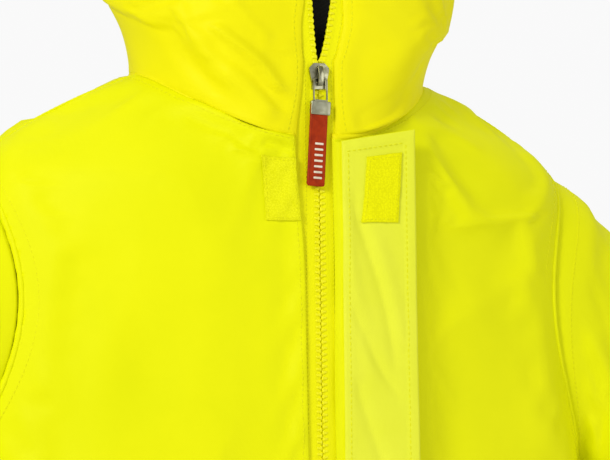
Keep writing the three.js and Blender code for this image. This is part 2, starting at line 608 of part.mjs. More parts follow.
function buildPocket(name, side) {
  const bottom = rowAtHeight(POCKET_TOP - POCKET_DEPTH);
  const top = rowAtHeight(POCKET_TOP);
  const [from, to] = pocketSpan(top);
  const lines = linesBetween(frontColumns, from, to);
  const rows = [...spread(bottom, top, 3)];
  add(`pocket_${name}`, sheet(front(side), lines, rows, POCKET_LAYER, POCKET_LAYER + SHELL), "shell");
  const under = POCKET_LAYER + SHELL + GAP;
  const tape = linesBetween(frontColumns, mix(from, to, 0.3), mix(from, to, 0.7));
  const flapTop = rowAtHeight(POCKET_TOP + 16);
  const flapEnd = rowAtHeight(POCKET_TOP + 16 - POCKET_FLAP);
  const tapeRows = [mix(flapEnd, flapTop, 0.08), mix(flapEnd, flapTop, 0.55)];
  const group = bodies[`pocket_flap_${name}`];
  add(`pocket_hook_tape_${name}`, sheet(front(side), tape, tapeRows, under, under + PILE), "pile", group);
  const wide = linesBetween([...frontColumns, tape[0], tape.at(-1)].sort((a, b) => a - b), from - 0.012, to + 0.012);
  const over = under + PILE + GAP;
  add(`pocket_flap_${name}`, sheet(front(side), wide, [flapEnd, mix(flapEnd, flapTop, 0.5), flapTop], over, over + SHELL), "shell", group);
}

// ---------- bodies: the groups that move ----------
const bodies = {};
for (const name of ["sleeve_right", "sleeve_left", "cuff_tab_right", "cuff_tab_left", "pocket_flap_right", "pocket_flap_left"])
  bodies[name] = new THREE.Group();

// Everything on the zip's line is made with the neck seam at the origin, X across, -Y out of the jacket and Z up.
const zipLine = new THREE.Group();
zipLine.position.set(0, -NECK_FRONT, -NECK_DROP);
zipLine.rotation.x = -Math.atan(FRONT_LEAN);
const stretch = Math.hypot(1, FRONT_LEAN);

function zipOutline(side, near, far, top, bottom, toothed) {
  const heights = [];
  for (let z = bottom; z < top; z += TOOTH_PITCH) heights.push(z);
  const bend = [top, ...spread(PART_HEIGHT + 8, SLIDER_HEIGHT + 12, 6).filter((z) => z < top), SLIDER_HEIGHT + 9];
  const outer = [...bend, bottom].map((z) => [side * (far + parting(side, z)), z]);
  if (!toothed) return [...outer, ...[bottom, ...[...bend].reverse()].map((z) => [side * (near + parting(side, z)), z])];
  const phase = side > 0 ? 0 : TOOTH_PITCH / 2;
  const inner = heights.flatMap((z) => [
    [side * (near + TOOTH_REACH * 0.72 + parting(side, z)), z + phase + TOOTH_PITCH * 0.1],
    [side * (near + parting(side, z)), z + phase + TOOTH_PITCH * 0.5],
  ]);
  return [...outer, ...inner.filter(([, z]) => z < top - 0.2)];
}

function buildZip() {
  const chain = -ZIP_TAPE_DEPTH;
  const bead = CHAIN_HALF_GAP + TOOTH_REACH;
  for (const [name, side] of [["right", -1], ["left", 1]]) {
    const teeth = zipOutline(side, CHAIN_HALF_GAP, bead, ZIP_ABOVE, -ZIP_BELOW, true);
    add(`zip_teeth_${name}`, slab(teeth, chain - TOOTH_THICKNESS / 2, chain + TOOTH_THICKNESS / 2), "teeth", zipLine);
    const tape = zipOutline(side, bead + 0.3, bead + ZIP_TAPE_WIDTH, ZIP_ABOVE, -ZIP_BELOW - 8, false);
    add(`zip_tape_${name}`, slab(tape, chain - ZIP_TAPE / 2, chain + ZIP_TAPE / 2), "tape", zipLine);
    const stop = ZIP_ABOVE + 0.4;
    const x = parting(side, stop);
    add(
      `zip_top_stop_${name}`,
      block(...[side * (CHAIN_HALF_GAP + x), side * (bead + x)].sort((a, b) => a - b), stop, stop + 3, chain - 1.3, chain + 1.3),
      "teeth",
      zipLine,
    );
  }
  const foot = -ZIP_BELOW - 0.4;
  add("zip_pin", block(-bead, -CHAIN_HALF_GAP + 0.4, foot - 12, foot, chain - 1.2, chain + 1.2), "teeth", zipLine);
  const boxWalls = block(-bead - 0.2, bead + 0.2, foot - 15, foot - 4, chain - 2.2, chain + 2.2);
  const slot = block(-bead - 2, -CHAIN_HALF_GAP + 0.9, foot - 13, foot, chain - 1.6, chain + 1.6);
  add("zip_box", joined(without(boxWalls, slot), block(0.4, bead, foot - 6, foot, chain - 1.2, chain + 1.2)), "teeth", zipLine);
  const placket = [[-ZIP_EDGE - 12, -ZIP_BELOW], [ZIP_EDGE + 6, -ZIP_BELOW], [ZIP_EDGE + 6, -6], [-ZIP_EDGE - 12, -6]];
  add("zip_placket", slab(placket, PLACKET_DEPTH - TRIM, PLACKET_DEPTH), "lining", zipLine);
}

// The slider's body: two plates with turned-in edges, held apart by the wedge that parts the rows.
function buildSlider() {
  const group = bodies.slider;
  const [top, bottom] = [SLIDER_HEIGHT + SLIDER_LENGTH / 2, SLIDER_HEIGHT - SLIDER_LENGTH / 2];
  const chain = -ZIP_TAPE_DEPTH;
  const inside = TOOTH_THICKNESS / 2 + SLIDER_CLEAR;
  const half = SLIDER_WIDTH / 2;
  const foot = CHAIN_HALF_GAP + TOOTH_REACH + SLIDER_CLEAR + 1.2;
  const outline = [[-foot, bottom], [foot, bottom], [foot, bottom + 4], [half, top - 5], [half, top - 3],
    [half - 3, top], [-half + 3, top], [-half, top - 3], [-half, top - 5], [-foot, bottom + 4]];
  const wall = outline.slice(1, 5);
  const flange = (side, low, high) => {
    const outer = wall.map(([x, z]) => [side * x, z]);
    const inner = wall.map(([x, z]) => [side * (x - 1.1), z]).reverse();
    return slab([...outer, ...inner], low, high);
  };
  const plates = [chain + inside, chain - inside - SLIDER_PLATE].map((low) => slab(outline, low, low + SLIDER_PLATE));
  const slotHalf = ZIP_TAPE / 2 + SLIDER_CLEAR;
  const flanges = [-1, 1].flatMap((side) => [
    flange(side, chain + slotHalf, chain + inside + 0.1),
    flange(side, chain - inside - 0.1, chain - slotHalf),
  ]);
  const wedge = block(-CHAIN_HALF_GAP + 0.3, CHAIN_HALF_GAP - 0.3, top - 6, top - 0.6, chain - inside - 0.1, chain + inside + 0.1);
  add("zip_slider", joined(...plates, ...flanges, wedge), "steel", group);

  const face = chain + inside + SLIDER_PLATE + 0.3;
  const arch = new THREE.Shape();
  arch.moveTo(top - 2, face);
  arch.lineTo(top - 2, face + 1.6);
  arch.bezierCurveTo(top - 3, face + 4.4, bottom + 4, face + 4.4, bottom + 2, face + 1.6);
  arch.lineTo(bottom + 2, face);
  arch.lineTo(bottom + 4, face);
  arch.lineTo(bottom + 4.4, face + 1.1);
  arch.bezierCurveTo(bottom + 6, face + 2.9, top - 5, face + 2.9, top - 4.4, face + 1.1);
  arch.lineTo(top - 4, face);
  const bridge = new THREE.ExtrudeGeometry(arch, { depth: 3.4, bevelEnabled: false, curveSegments: 6 });
  bridge.applyMatrix4(new THREE.Matrix4().set(0, 0, 1, -1.7, 0, -1, 0, 0, 1, 0, 0, 0, 0, 0, 0, 1));
  add("slider_bridge", bridge, "steel", group);
}

// The wire loop hangs from the bridge; its upper bar lies under the bridge's arch.
const PULL_DEPTH = -ZIP_TAPE_DEPTH + TOOTH_THICKNESS / 2 + SLIDER_CLEAR + SLIDER_PLATE + 0.3 + 1.05;
const PIVOT_HEIGHT = SLIDER_HEIGHT - 1.5;

function buildPull() {
  const half = LOOP_WIDTH / 2;
  const [top, low] = [PIVOT_HEIGHT, PIVOT_HEIGHT - LOOP_LENGTH];
  const corner = 1.6;
  const path = new THREE.CurvePath();
  const at = (x, z) => V(x, -PULL_DEPTH, z);
  const bends = [[half, top], [half, low], [-half, low], [-half, top]];
  bends.forEach(([x, z], i) => {
    const [nx, nz] = bends[(i + 1) % 4];
    const step = V(Math.sign(nx - x), 0, Math.sign(nz - z)).multiplyScalar(corner);
    const [px, pz] = bends[(i + 3) % 4];
    const before = V(Math.sign(px - x), 0, Math.sign(pz - z)).multiplyScalar(corner);
    path.add(new THREE.QuadraticBezierCurve3(at(x, z).add(before), at(x, z), at(x, z).add(step)));
    path.add(new THREE.LineCurve3(at(x, z).add(step), at(nx, nz).sub(step)));
  });
  const steps = 32;
  const ring = spread(0, 1, steps).slice(0, -1).map((k) => path.getPoint(k));
  const place = (i, j, depth) => {
    const p = ring[i % steps];
    const along = ring[(i + 1) % steps].clone().sub(ring[(i + steps - 1) % steps]).normalize();
    const side = along.clone().cross(V(0, 1, 0)).normalize();
    return p.clone().addScaledVector(side, depth * Math.cos(j)).add(V(0, depth * Math.sin(j), 0));
  };
  add("pull_loop", ringTube(place, steps, 8, WIRE / 2), "steel", bodies.pull_loop);

  // The clamp is folded round the wire between its two corners, and round the tag below.
  const room = WIRE / 2 + 0.3;
  const [back, front] = [PULL_DEPTH - CLAMP_DEPTH / 2, PULL_DEPTH + CLAMP_DEPTH / 2];
  const clamp = block(-CLAMP_WIDTH / 2, CLAMP_WIDTH / 2, low + room + 0.8 - CLAMP_HEIGHT, low + room + 0.8, back, front);
  const eye = block(-half, half, low - room, low + room, PULL_DEPTH - room, PULL_DEPTH + room);
  const corners = [-1, 1].map((side) => {
    const [near, far] = [side * (half - corner + 0.4), side * CLAMP_WIDTH].sort((a, b) => a - b);
    return block(near, far, low - room, low + 4, back - 1, front + 1);
  });
  const mouth = block(-TAG_WIDTH / 2 - 0.3, TAG_WIDTH / 2 + 0.3, low - CLAMP_HEIGHT - 1, low - room - 1, PULL_DEPTH - TAG_DEPTH / 2 - 0.3, PULL_DEPTH + TAG_DEPTH / 2 + 0.3);
  add("pull_clamp", without(clamp, eye, ...corners, mouth), "steel", bodies.pull_tag);
  const start = low - room - 1.3;
  const radius = 1.5;
  const tag = new THREE.Shape();
  tag.moveTo(-TAG_WIDTH / 2, start);
  tag.lineTo(-TAG_WIDTH / 2, start - TAG_LENGTH + radius);
  tag.absarc(-TAG_WIDTH / 2 + radius, start - TAG_LENGTH + radius, radius, Math.PI, 1.5 * Math.PI);
  tag.absarc(TAG_WIDTH / 2 - radius, start - TAG_LENGTH + radius, radius, 1.5 * Math.PI, 2 * Math.PI);
  tag.lineTo(TAG_WIDTH / 2, start);
  const outline = tag.getPoints(4).map((p) => [p.x, p.y]);
  add("pull_tag", slab(outline, PULL_DEPTH - TAG_DEPTH / 2, PULL_DEPTH + TAG_DEPTH / 2), "tag", bodies.pull_tag);
}

// A closed ring of wire.
function ringTube(place, around, sides, radius) {
  const points = [];
  for (let i = 0; i < around; i++)
    for (let j = 0; j < sides; j++) points.push(place(i, (2 * Math.PI * j) / sides, radius));
  const faces = [];
  for (let i = 0; i < around; i++)
    for (let j = 0; j < sides; j++) {
      const [a, b] = [i * sides + j, i * sides + ((j + 1) % sides)];
      const [c, d] = [((i + 1) % around) * sides + j, ((i + 1) % around) * sides + ((j + 1) % sides)];
      faces.push(a, b, d, a, d, c);
    }
  const geometry = new THREE.BufferGeometry();
  geometry.setAttribute("position", new THREE.Float32BufferAttribute(points.flatMap((p) => [p.x, p.y, p.z]), 3));
  geometry.setIndex(volumeOf(points, faces) < 0 ? faces.reverse() : faces);
  geometry.computeVertexNormals();
  return geometry;
}

// The storm flap in its own axes: X from the fold, -Y towards the eye while it lies open, Z up from the neck seam.
function buildFlap() {
  const group = bodies.storm_flap;
  const bottom = -(BODY_LENGTH - NECK_DROP) * stretch + FLAP_ABOVE_HEM;
  const shellFront = -0.4;
  const outline = [[0, bottom], [FLAP_WIDTH, bottom], [FLAP_WIDTH, FLAP_RISE - 2], [0, -2]];
  add("storm_flap", slab(outline, shellFront - SHELL, shellFront), "shell", group);
  const inset = 0.4;
  const inner = [[inset, bottom + inset], [FLAP_WIDTH - inset, bottom + inset], [FLAP_WIDTH - inset, FLAP_RISE - 2.6], [inset, -2.5]];
  const facingFront = shellFront + 0.3 + TRIM;
  add("storm_flap_facing", slab(inner, shellFront + 0.3, facingFront), "facing", group);
  for (let i = 0; i < PILE_COUNT; i++) {
    const top = -HOOK_TOP - i * PILE_STEP;
    const hooks = block(HOOK_START, HOOK_START + PILE_WIDTH, top - PILE_LENGTH, top, facingFront + 0.3, facingFront + 0.3 + PILE);
    add(`flap_hook_tape_${i + 1}`, hooks, "pile", group);
  }
  group.position.set(FLAP_FOLD, -FLAP_LIFT, 0);
}

// Loop tapes on the front panel on the wearer's right, where the flap closes.
function buildLoops() {
  for (let i = 0; i < PILE_COUNT; i++) {
    const top = -PILE_TOP - i * PILE_STEP;
    const rows = [top - PILE_LENGTH, top - PILE_LENGTH / 2, top].map((z) => frontRow(z / stretch - NECK_DROP));
    const place = (s, v, depth) => body(-s, v, depth);
    const across = spread(ZIP_EDGE + 1.5, ZIP_EDGE + 1.5 + PILE_WIDTH, 2);
    add(`front_loop_tape_${i + 1}`, sheet(place, across, rows, OVER, OVER + PILE), "pile");
  }
}

// The row whose middle of the front is at a height.
function frontRow(z) {
  let [low, high] = [0, NECK_ROW];
  for (let i = 0; i < 40; i++) {
    const middle = (low + high) / 2;
    if (bodyPoint(0, middle).z < z) low = middle;
    else high = middle;
  }
  return low;
}

// A loop of tape inside the back of the neck, to hang the jacket from a hook.
function buildHangerLoop() {
  const half = 32;
  const seat = (x, depth, down) => {
    const p = hood((x / halfRing(NECK_ROW).total) * 0.93, 0.4, -depth);
    return p.setZ(p.z - down);
  };
  const path = new THREE.CatmullRomCurve3([
    seat(-half, 5, 0), seat(-half * 0.8, 10, 2), seat(0, 16, 5), seat(half * 0.8, 10, 2), seat(half, 5, 0),
  ]);
  const section = new THREE.Shape([[-4, -0.7], [4, -0.7], [4, 0.7], [-4, 0.7]].map(([x, y]) => new THREE.Vector2(x, y)));
  add("hanger_loop", new THREE.ExtrudeGeometry(section, { steps: 14, bevelEnabled: false, extrudePath: path }), "lining");
}

for (const name of ["slider", "pull_loop", "pull_tag", "storm_flap"]) {
  bodies[name] = new THREE.Group();
  zipLine.add(bodies[name]);
}
for (const name of ["right", "left"]) {
  bodies[`sleeve_${name}`].add(bodies[`cuff_tab_${name}`]);
  jacket.add(bodies[`sleeve_${name}`], bodies[`pocket_flap_${name}`]);
}
jacket.add(zipLine);

buildBody();
buildLining();
buildHood();
for (const [name, side] of [["right", -1], ["left", 1]]) {
  buildSleeve(name, side);
  buildPocket(name, side);
}
buildBands();
buildZip();
buildSlider();
buildPull();
buildFlap();
buildLoops();
buildHangerLoop();

export default jacket;
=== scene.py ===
"""The looks of a high-visibility foul weather jacket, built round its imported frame.

Metres. +Z is up, the front faces -Y and +X is the wearer's left. The origin is the middle of the neck, level
with the neck seam at the shoulders. Each piece of cloth is a fine grid of points laid over the frame's own
surface, with its folds worked into it; overlays such as tapes, bands and stitches are laid on that grid.
"""

import math

import bmesh
import bpy
import numpy as np
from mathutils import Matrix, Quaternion, Vector


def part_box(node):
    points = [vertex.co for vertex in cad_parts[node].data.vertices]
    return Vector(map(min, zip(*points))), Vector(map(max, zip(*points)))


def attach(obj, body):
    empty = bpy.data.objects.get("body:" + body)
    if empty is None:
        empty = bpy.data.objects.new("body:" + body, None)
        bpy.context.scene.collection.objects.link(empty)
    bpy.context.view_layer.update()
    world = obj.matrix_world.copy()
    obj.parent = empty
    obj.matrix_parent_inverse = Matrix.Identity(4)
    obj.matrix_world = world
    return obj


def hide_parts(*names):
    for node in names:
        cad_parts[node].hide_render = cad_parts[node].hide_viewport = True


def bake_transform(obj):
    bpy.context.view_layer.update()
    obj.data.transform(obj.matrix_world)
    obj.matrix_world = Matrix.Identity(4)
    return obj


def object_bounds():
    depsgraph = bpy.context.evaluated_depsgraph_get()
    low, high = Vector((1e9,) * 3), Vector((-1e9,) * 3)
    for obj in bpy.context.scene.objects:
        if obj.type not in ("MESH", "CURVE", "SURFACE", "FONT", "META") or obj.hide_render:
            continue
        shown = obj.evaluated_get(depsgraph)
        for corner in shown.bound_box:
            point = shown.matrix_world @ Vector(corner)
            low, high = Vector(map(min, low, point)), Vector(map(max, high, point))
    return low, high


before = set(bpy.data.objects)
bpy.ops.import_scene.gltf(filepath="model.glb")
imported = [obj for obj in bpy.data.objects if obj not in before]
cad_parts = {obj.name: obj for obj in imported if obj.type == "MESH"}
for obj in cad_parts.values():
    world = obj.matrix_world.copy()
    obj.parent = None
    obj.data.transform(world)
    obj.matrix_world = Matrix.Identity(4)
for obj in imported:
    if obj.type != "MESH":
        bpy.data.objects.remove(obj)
cad_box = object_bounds()

SIDES = (("right", -1), ("left", 1))

# ---------- sizes, in metres; the frame gives the large ones ----------
SHELL = 0.0016
LINING = 0.001
GAP = 0.0007
TRIM = 0.0009
PILE = 0.0014
OVER = SHELL + GAP

BODY_LENGTH = -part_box("back_panel")[0].z
HEM_HALF_WIDTH = 0.240
CHEST_HALF_WIDTH = 0.230
SHOULDER_HALF_WIDTH = 0.205
SHOULDER_DROP = 0.062
NECK_HALF_WIDTH = 0.100
NECK_BACK = 0.074
NECK_FRONT = 0.098
NECK_DROP = 0.040
NECK_RISE = 0.012
CHEST_BACK = 0.142
CHEST_BELOW_NECK = 0.230
WAIST_BACK = 0.140
HEM_BACK = 0.152
FRONT_LEAN = 0.1
FLAT_HALF = 0.046

ZIP_EDGE = 0.011
ZIP_ABOVE = 0.108
ZIP_BELOW = 0.688
ZIP_TAPE_DEPTH = 0.00095
TOOTH_PITCH = 0.0039
SLIDER_HEIGHT = 0.040
PART_START = SLIDER_HEIGHT + 0.0105
PART_HEIGHT = 0.088
ZIP_OPENING = {-1: 0.004, 1: 0.011}

FLAP_WIDTH = 0.052
FLAP_FOLD = 0.013
FLAP_LIFT = 0.0058
FLAP_RISE = 0.009
FLAP_ABOVE_HEM = 0.022
HOOK_START = 0.018
HOOK_TOP = 0.015
LOOP_TOP = 0.014
PILE_STEP = 0.205
PILE_COUNT = 4
PILE_WIDTH = 0.025
PILE_LENGTH = 0.040

ARMHOLE_HEIGHT = 0.224
ARMHOLE_WIDTH = 0.144
ARMHOLE_TOP = -SHOULDER_DROP + 0.005
BICEPS_HALF, BICEPS_DEPTH = 0.060, 0.082
ELBOW_HALF, ELBOW_DEPTH = 0.055, 0.067
CUFF_HALF, CUFF_DEPTH = 0.043, 0.050
SLEEVE_CLEAR = 0.007
UPPER_ARM, FOREARM = 0.165, 0.195
ARM_SPREAD, ELBOW_BEND = math.radians(14), math.radians(11)
CAP_SHARE = 0.3

BAND_WIDTH = 0.050
BAND_HEIGHTS = {"upper": -0.395, "lower": -0.560}
POCKET_START = 0.062
POCKET_WIDTH = 0.150
POCKET_DEPTH = 0.140
POCKET_TOP = -0.462
POCKET_FULLNESS = 0.0030
POCKET_FLAP = 0.052
POCKET_FLAP_TOP = POCKET_TOP + 0.016
POCKET_FLAP_THICKNESS = 0.0022
HOOK_STRIP = 0.0012


# Random relief is made of this many cosines.
WAVE_COUNT = 14
# Every cloth hangs for this many frames, under a slight pressure from inside.
HANG_FRAMES = 22
HANG_PRESSURE = 0.15
# How far a row of stitches is lifted off its cloth.
STITCH_LIFT = 0.00012
# How much a rolled seam grows thicker and thinner along its length.
WELT_UNEVENNESS = 0.10


# ---------- working with arrays of points ----------
def mix(a, b, k):
    return a + (b - a) * k


def ease(x, start, end):
    """0 before start, 1 after end, and smooth between them."""
    k = np.clip((np.asarray(x, float) - start) / (end - start), 0, 1)
    return k * k * (3 - 2 * k)


def bump(x, middle, half):
    """1 at the middle, falling smoothly to 0 over about two halves."""
    return np.exp(-(((np.asarray(x, float) - middle) / half) ** 2))


def smooth_row(table, at):
    """The rows of a table, run through smoothly: row 1.5 is half way between rows 1 and 2."""
    table, at = np.asarray(table, float), np.asarray(at, float)
    i = np.clip(np.floor(at).astype(int), 0, len(table) - 2)
    k = (at - i).reshape(at.shape + (1,) * (table.ndim - 1))
    a, b, d, e = (table[np.clip(i + step, 0, len(table) - 1)] for step in (-1, 0, 1, 2))
    return b + 0.5 * k * (d - a + k * (2 * a - 5 * b + 4 * d - e + k * (3 * (b - d) + e - a)))


def unit(v):
    return v / np.maximum(np.linalg.norm(v, axis=-1, keepdims=True), 1e-12)


def steps(start, end, step, edge=None):
    """Evenly spaced values about a step apart, with close ones at each end when an edge's size is given."""
    values = np.linspace(start, end, max(2, int(round(abs(end - start) / step)) + 1))
    if edge is None:
        return values
    sign = np.sign(end - start)
    inner = values[np.abs(values - start) > edge * 1.8]
    inner = inner[np.abs(inner - end) > edge * 1.8]
    near = np.array([0, 0.3, 1]) * edge * sign
    return np.concatenate([start + near, inner, (end - near)[::-1]])


def waves(points, size, seed, stretch=(1, 1, 1)):
    """Smooth random relief from -1 to 1 with hills about one size apart. stretch lengthens them along X,
    Y and Z."""
    rng = np.random.default_rng(seed)
    total = np.zeros(points.shape[:-1])
    scaled = points / (np.array(stretch) * size)
    for _ in range(WAVE_COUNT):
        direction = rng.normal(size=3)
        direction *= math.pi * rng.uniform(0.7, 1.3) / np.linalg.norm(direction)
        total += np.cos(scaled @ direction + rng.uniform(0, 2 * math.pi))
    return total / math.sqrt(WAVE_COUNT)


def fold(points, path, height, width, sharp=1.0, taper=0.25):
    """The relief of one long fold that runs along a path of (x, z) points on the front. sharp narrows its
    lower side."""
    path = np.array(path, float)
    run = np.concatenate([[0], np.cumsum(np.linalg.norm(np.diff(path, axis=0), axis=1))])
    fine = np.linspace(0, run[-1], 40)
    line = smooth_row(path, np.interp(fine, run, np.arange(len(path))))
    flat = points[..., [0, 2]]
    gap = flat[..., None, :] - line
    distance = np.linalg.norm(gap, axis=-1)
    nearest = distance.argmin(-1)
    along = np.gradient(line, axis=0)[nearest]
    offset = np.take_along_axis(gap, nearest[..., None, None], -2)[..., 0, :]
    below = along[..., 0] * offset[..., 1] - along[..., 1] * offset[..., 0] < 0
    d = distance.min(-1) / np.where(below, width / sharp, width)
    k = nearest / (len(fine) - 1)
    ends = ease(k, 0, taper) * (1 - ease(k, 1 - taper, 1))
    return height * np.exp(-d * d) * ends


class Cloth:
    """A grid of points on the outside of a piece of cloth, with rows along up and columns along across."""

    def __init__(self, points, across, up, outside):
        self.across, self.up = np.asarray(across, float), np.asarray(up, float)
        self.points = points
        self.sign = 1
        self.settle()
        middle = (points.shape[0] // 2, points.shape[1] // 2)
        if self.normals[middle] @ (points[middle] - np.array(outside)) < 0:
            self.sign = -1
            self.settle()

    def settle(self):
        along = np.gradient(self.points, axis=1)
        upward = np.gradient(self.points, axis=0)
        self.normals = self.sign * unit(np.cross(along, upward))

    def raised(self, relief):
        """The same cloth with relief worked into it."""
        self.points = self.points + self.normals * np.asarray(relief)[..., None]
        self.settle()
        return self

    def at(self, across, up, lift=0.0):
        """Points and normals at any place on the cloth, lifted off it."""
        column = np.interp(across, self.across, np.arange(len(self.across)))
        row = np.interp(up, self.up, np.arange(len(self.up)))
        i = np.clip(row.astype(int), 0, len(self.up) - 2)
        j = np.clip(column.astype(int), 0, len(self.across) - 2)
        a, b = (row - i)[..., None], (column - j)[..., None]

        def blend(grid):
            top = mix(grid[i + 1, j], grid[i + 1, j + 1], b)
            return mix(mix(grid[i, j], grid[i, j + 1], b), top, a)

        normals = unit(blend(self.normals))
        return blend(self.points) + normals * np.asarray(lift)[..., None], normals


def spread_out(coarse, rows, columns, shape):
    """Values on a coarse grid, spread smoothly over a fine one."""
    fine = smooth_row(coarse, np.interp(np.arange(shape[0]), rows, np.arange(len(rows))))
    fine = smooth_row(fine.swapaxes(0, 1), np.interp(np.arange(shape[1]), columns, np.arange(len(columns))))
    return fine.swapaxes(0, 1)


def let_hang(cloth, pinned, extra=0.03, every=(2, 2), limit=(0.0045, 0.0075), bending=0.8, wraps=False):
    """Simulates the cloth with a little extra width in it, held where pinned is 1, and works the folds it
    makes into the grid. limit caps how far it moves in and out."""
    count = cloth.points.shape[:2]
    rows = np.unique(np.append(np.arange(0, count[0], every[0]), count[0] - 1))
    columns = np.unique(np.append(np.arange(0, count[1], every[1]), count[1] - 1))
    points, held = cloth.points[np.ix_(rows, columns)], pinned[np.ix_(rows, columns)]
    if wraps:
        points, held = points[:, :-1], held[:, :-1]
    faces = grid_faces(*points.shape[:2], wraps=wraps)
    mesh = bpy.data.meshes.new("hanging")
    outward = faces[:, ::-1] if cloth.sign < 0 else faces
    mesh.from_pydata(points.reshape(-1, 3).tolist(), [], outward.tolist())
    hanging = bpy.data.objects.new("hanging", mesh)
    bpy.context.scene.collection.objects.link(hanging)
    pins = hanging.vertex_groups.new(name="pins")
    for i, weight in enumerate(held.reshape(-1)):
        if weight > 0:
            pins.add([i], float(weight), "REPLACE")
    modifier = hanging.modifiers.new("cloth", "CLOTH")
    modifier.point_cache.frame_start, modifier.point_cache.frame_end = 1, HANG_FRAMES
    settings = modifier.settings
    settings.quality, settings.mass, settings.air_damping = 5, 0.25, 2.0
    settings.tension_stiffness = settings.compression_stiffness = 12
    settings.shear_stiffness, settings.bending_stiffness = 6, bending
    settings.vertex_group_mass, settings.pin_stiffness = "pins", 1.0
    settings.shrink_min = settings.shrink_max = -extra
    settings.use_pressure, settings.uniform_pressure_force = True, HANG_PRESSURE
    settings.effector_weights.gravity = 0.5
    modifier.collision_settings.use_collision = False
    for number in range(1, HANG_FRAMES + 1):
        bpy.context.scene.frame_set(number)
    shape = hanging.evaluated_get(bpy.context.evaluated_depsgraph_get()).data
    moved = np.zeros(len(shape.vertices) * 3)
    shape.vertices.foreach_get("co", moved)
    bpy.context.scene.frame_set(1)
    bpy.data.objects.remove(hanging)
    bpy.data.meshes.remove(mesh)
    shift = moved.reshape(points.shape) - points
    if wraps:
        shift = np.concatenate([shift, shift[:, :1]], 1)
    normals = cloth.normals[np.ix_(rows, columns)]
    out = (shift * normals).sum(-1)
    out = np.where(out < 0, -limit[0] * np.tanh(-out / limit[0]), limit[1] * np.tanh(out / limit[1]))
    cloth.points = cloth.points + spread_out(out[..., None] * normals, rows, columns, count)
    cloth.settle()


# ---------- making meshes ----------
def new_piece(name, points, faces, material):
    """A smoothly shaded object in the scene."""
    mesh = bpy.data.meshes.new(name)
    mesh.from_pydata(points, [], faces)
    mesh.materials.append(material)
    mesh.polygons.foreach_set("use_smooth", [True] * len(mesh.polygons))
    piece = bpy.data.objects.new(name, mesh)
    bpy.context.scene.collection.objects.link(piece)
    return piece


def link(name, points, faces, material, body, stands_for=()):
    """A new piece with its body and the nodes it stands for."""
    piece = new_piece(name, np.asarray(points).tolist(), np.asarray(faces).tolist(), material)
    if body:
        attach(piece, body)
    if stands_for:
        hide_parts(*stands_for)
    return piece


def make_outward(mesh):
    """Turns every face outwards."""
    shape = bmesh.new()
    shape.from_mesh(mesh)
    bmesh.ops.recalc_face_normals(shape, faces=shape.faces)
    shape.to_mesh(mesh)
    shape.free()


def grid_faces(rows, columns, wraps=False):
    i, j = np.meshgrid(np.arange(rows - 1), np.arange(columns if wraps else columns - 1), indexing="ij")
    k = (j + 1) % columns
    quads = [i * columns + j, i * columns + k, (i + 1) * columns + k, (i + 1) * columns + j]
    return np.stack(quads, -1).reshape(-1, 4)


def closed_sheet(outer, inner, faces):
    """A closed body between an outer and an inner layer of the same faces, with a rim round every free
    edge."""
    count = len(outer)
    edges = np.stack([faces, np.roll(faces, -1, axis=1)], -1).reshape(-1, 2)
    key = edges.min(1) * count + edges.max(1)
    _, first, uses = np.unique(key, return_index=True, return_counts=True)
    free = edges[first[uses == 1]]
    rim = np.stack([free[:, 1], free[:, 0], free[:, 0] + count, free[:, 1] + count], -1)
    points = np.concatenate([outer, inner])
    all_faces = np.concatenate([faces, faces[:, ::-1] + count, rim])
    used, renumbered = np.unique(all_faces, return_inverse=True)
    return points[used], renumbered.reshape(all_faces.shape)


def declare_sheet(cloth, keep=None):
    diagonals = cloth.points[1:, 1:] - cloth.points[:-1, :-1], cloth.points[1:, :-1] - cloth.points[:-1, 1:]
    areas = np.linalg.norm(np.cross(*diagonals), axis=-1) / 2
    if keep is not None:
        areas = areas[keep]


def sew(name, cloth, thickness, material, body, stands_for=(), keep=None, held=None):
    """Makes a closed piece of cloth that lies under a grid, in its thickness. keep says which faces stay."""
    rows, columns = cloth.points.shape[:2]
    faces = grid_faces(rows, columns)
    if keep is not None:
        faces = faces[keep.reshape(-1)]
    if cloth.sign < 0:
        faces = faces[:, ::-1]
    outer = cloth.points.reshape(-1, 3)
    inner = (cloth.points - cloth.normals * thickness).reshape(-1, 3)
    points, faces = closed_sheet(outer, inner, faces)
    piece = link(name, points, faces, material, body, stands_for)
    if held:
        declare_sheet(cloth, keep)
    return piece


def overlay(cloth, across, up, lift, roll=0.0, place=lambda u, v: (u, v)):
    """A new grid laid on part of a cloth. Its edges roll down by roll, as a folded edge does. place turns
    the new grid's own measures into the cloth's."""
    u, v = np.meshgrid(across, up)
    lifted = np.full(u.shape, lift, float)
    if roll:
        for k in (0, -1):
            lifted[k, :] -= roll
            lifted[:, k] -= roll
        for k in (1, -2):
            lifted[k, 1:-1] -= roll * 0.3
            lifted[1:-1, k] -= roll * 0.3
    points, normals = cloth.at(*place(u, v), lifted)
    middle = (len(up) // 2, len(across) // 2)
    return Cloth(points, across, up, points[middle] - normals[middle])


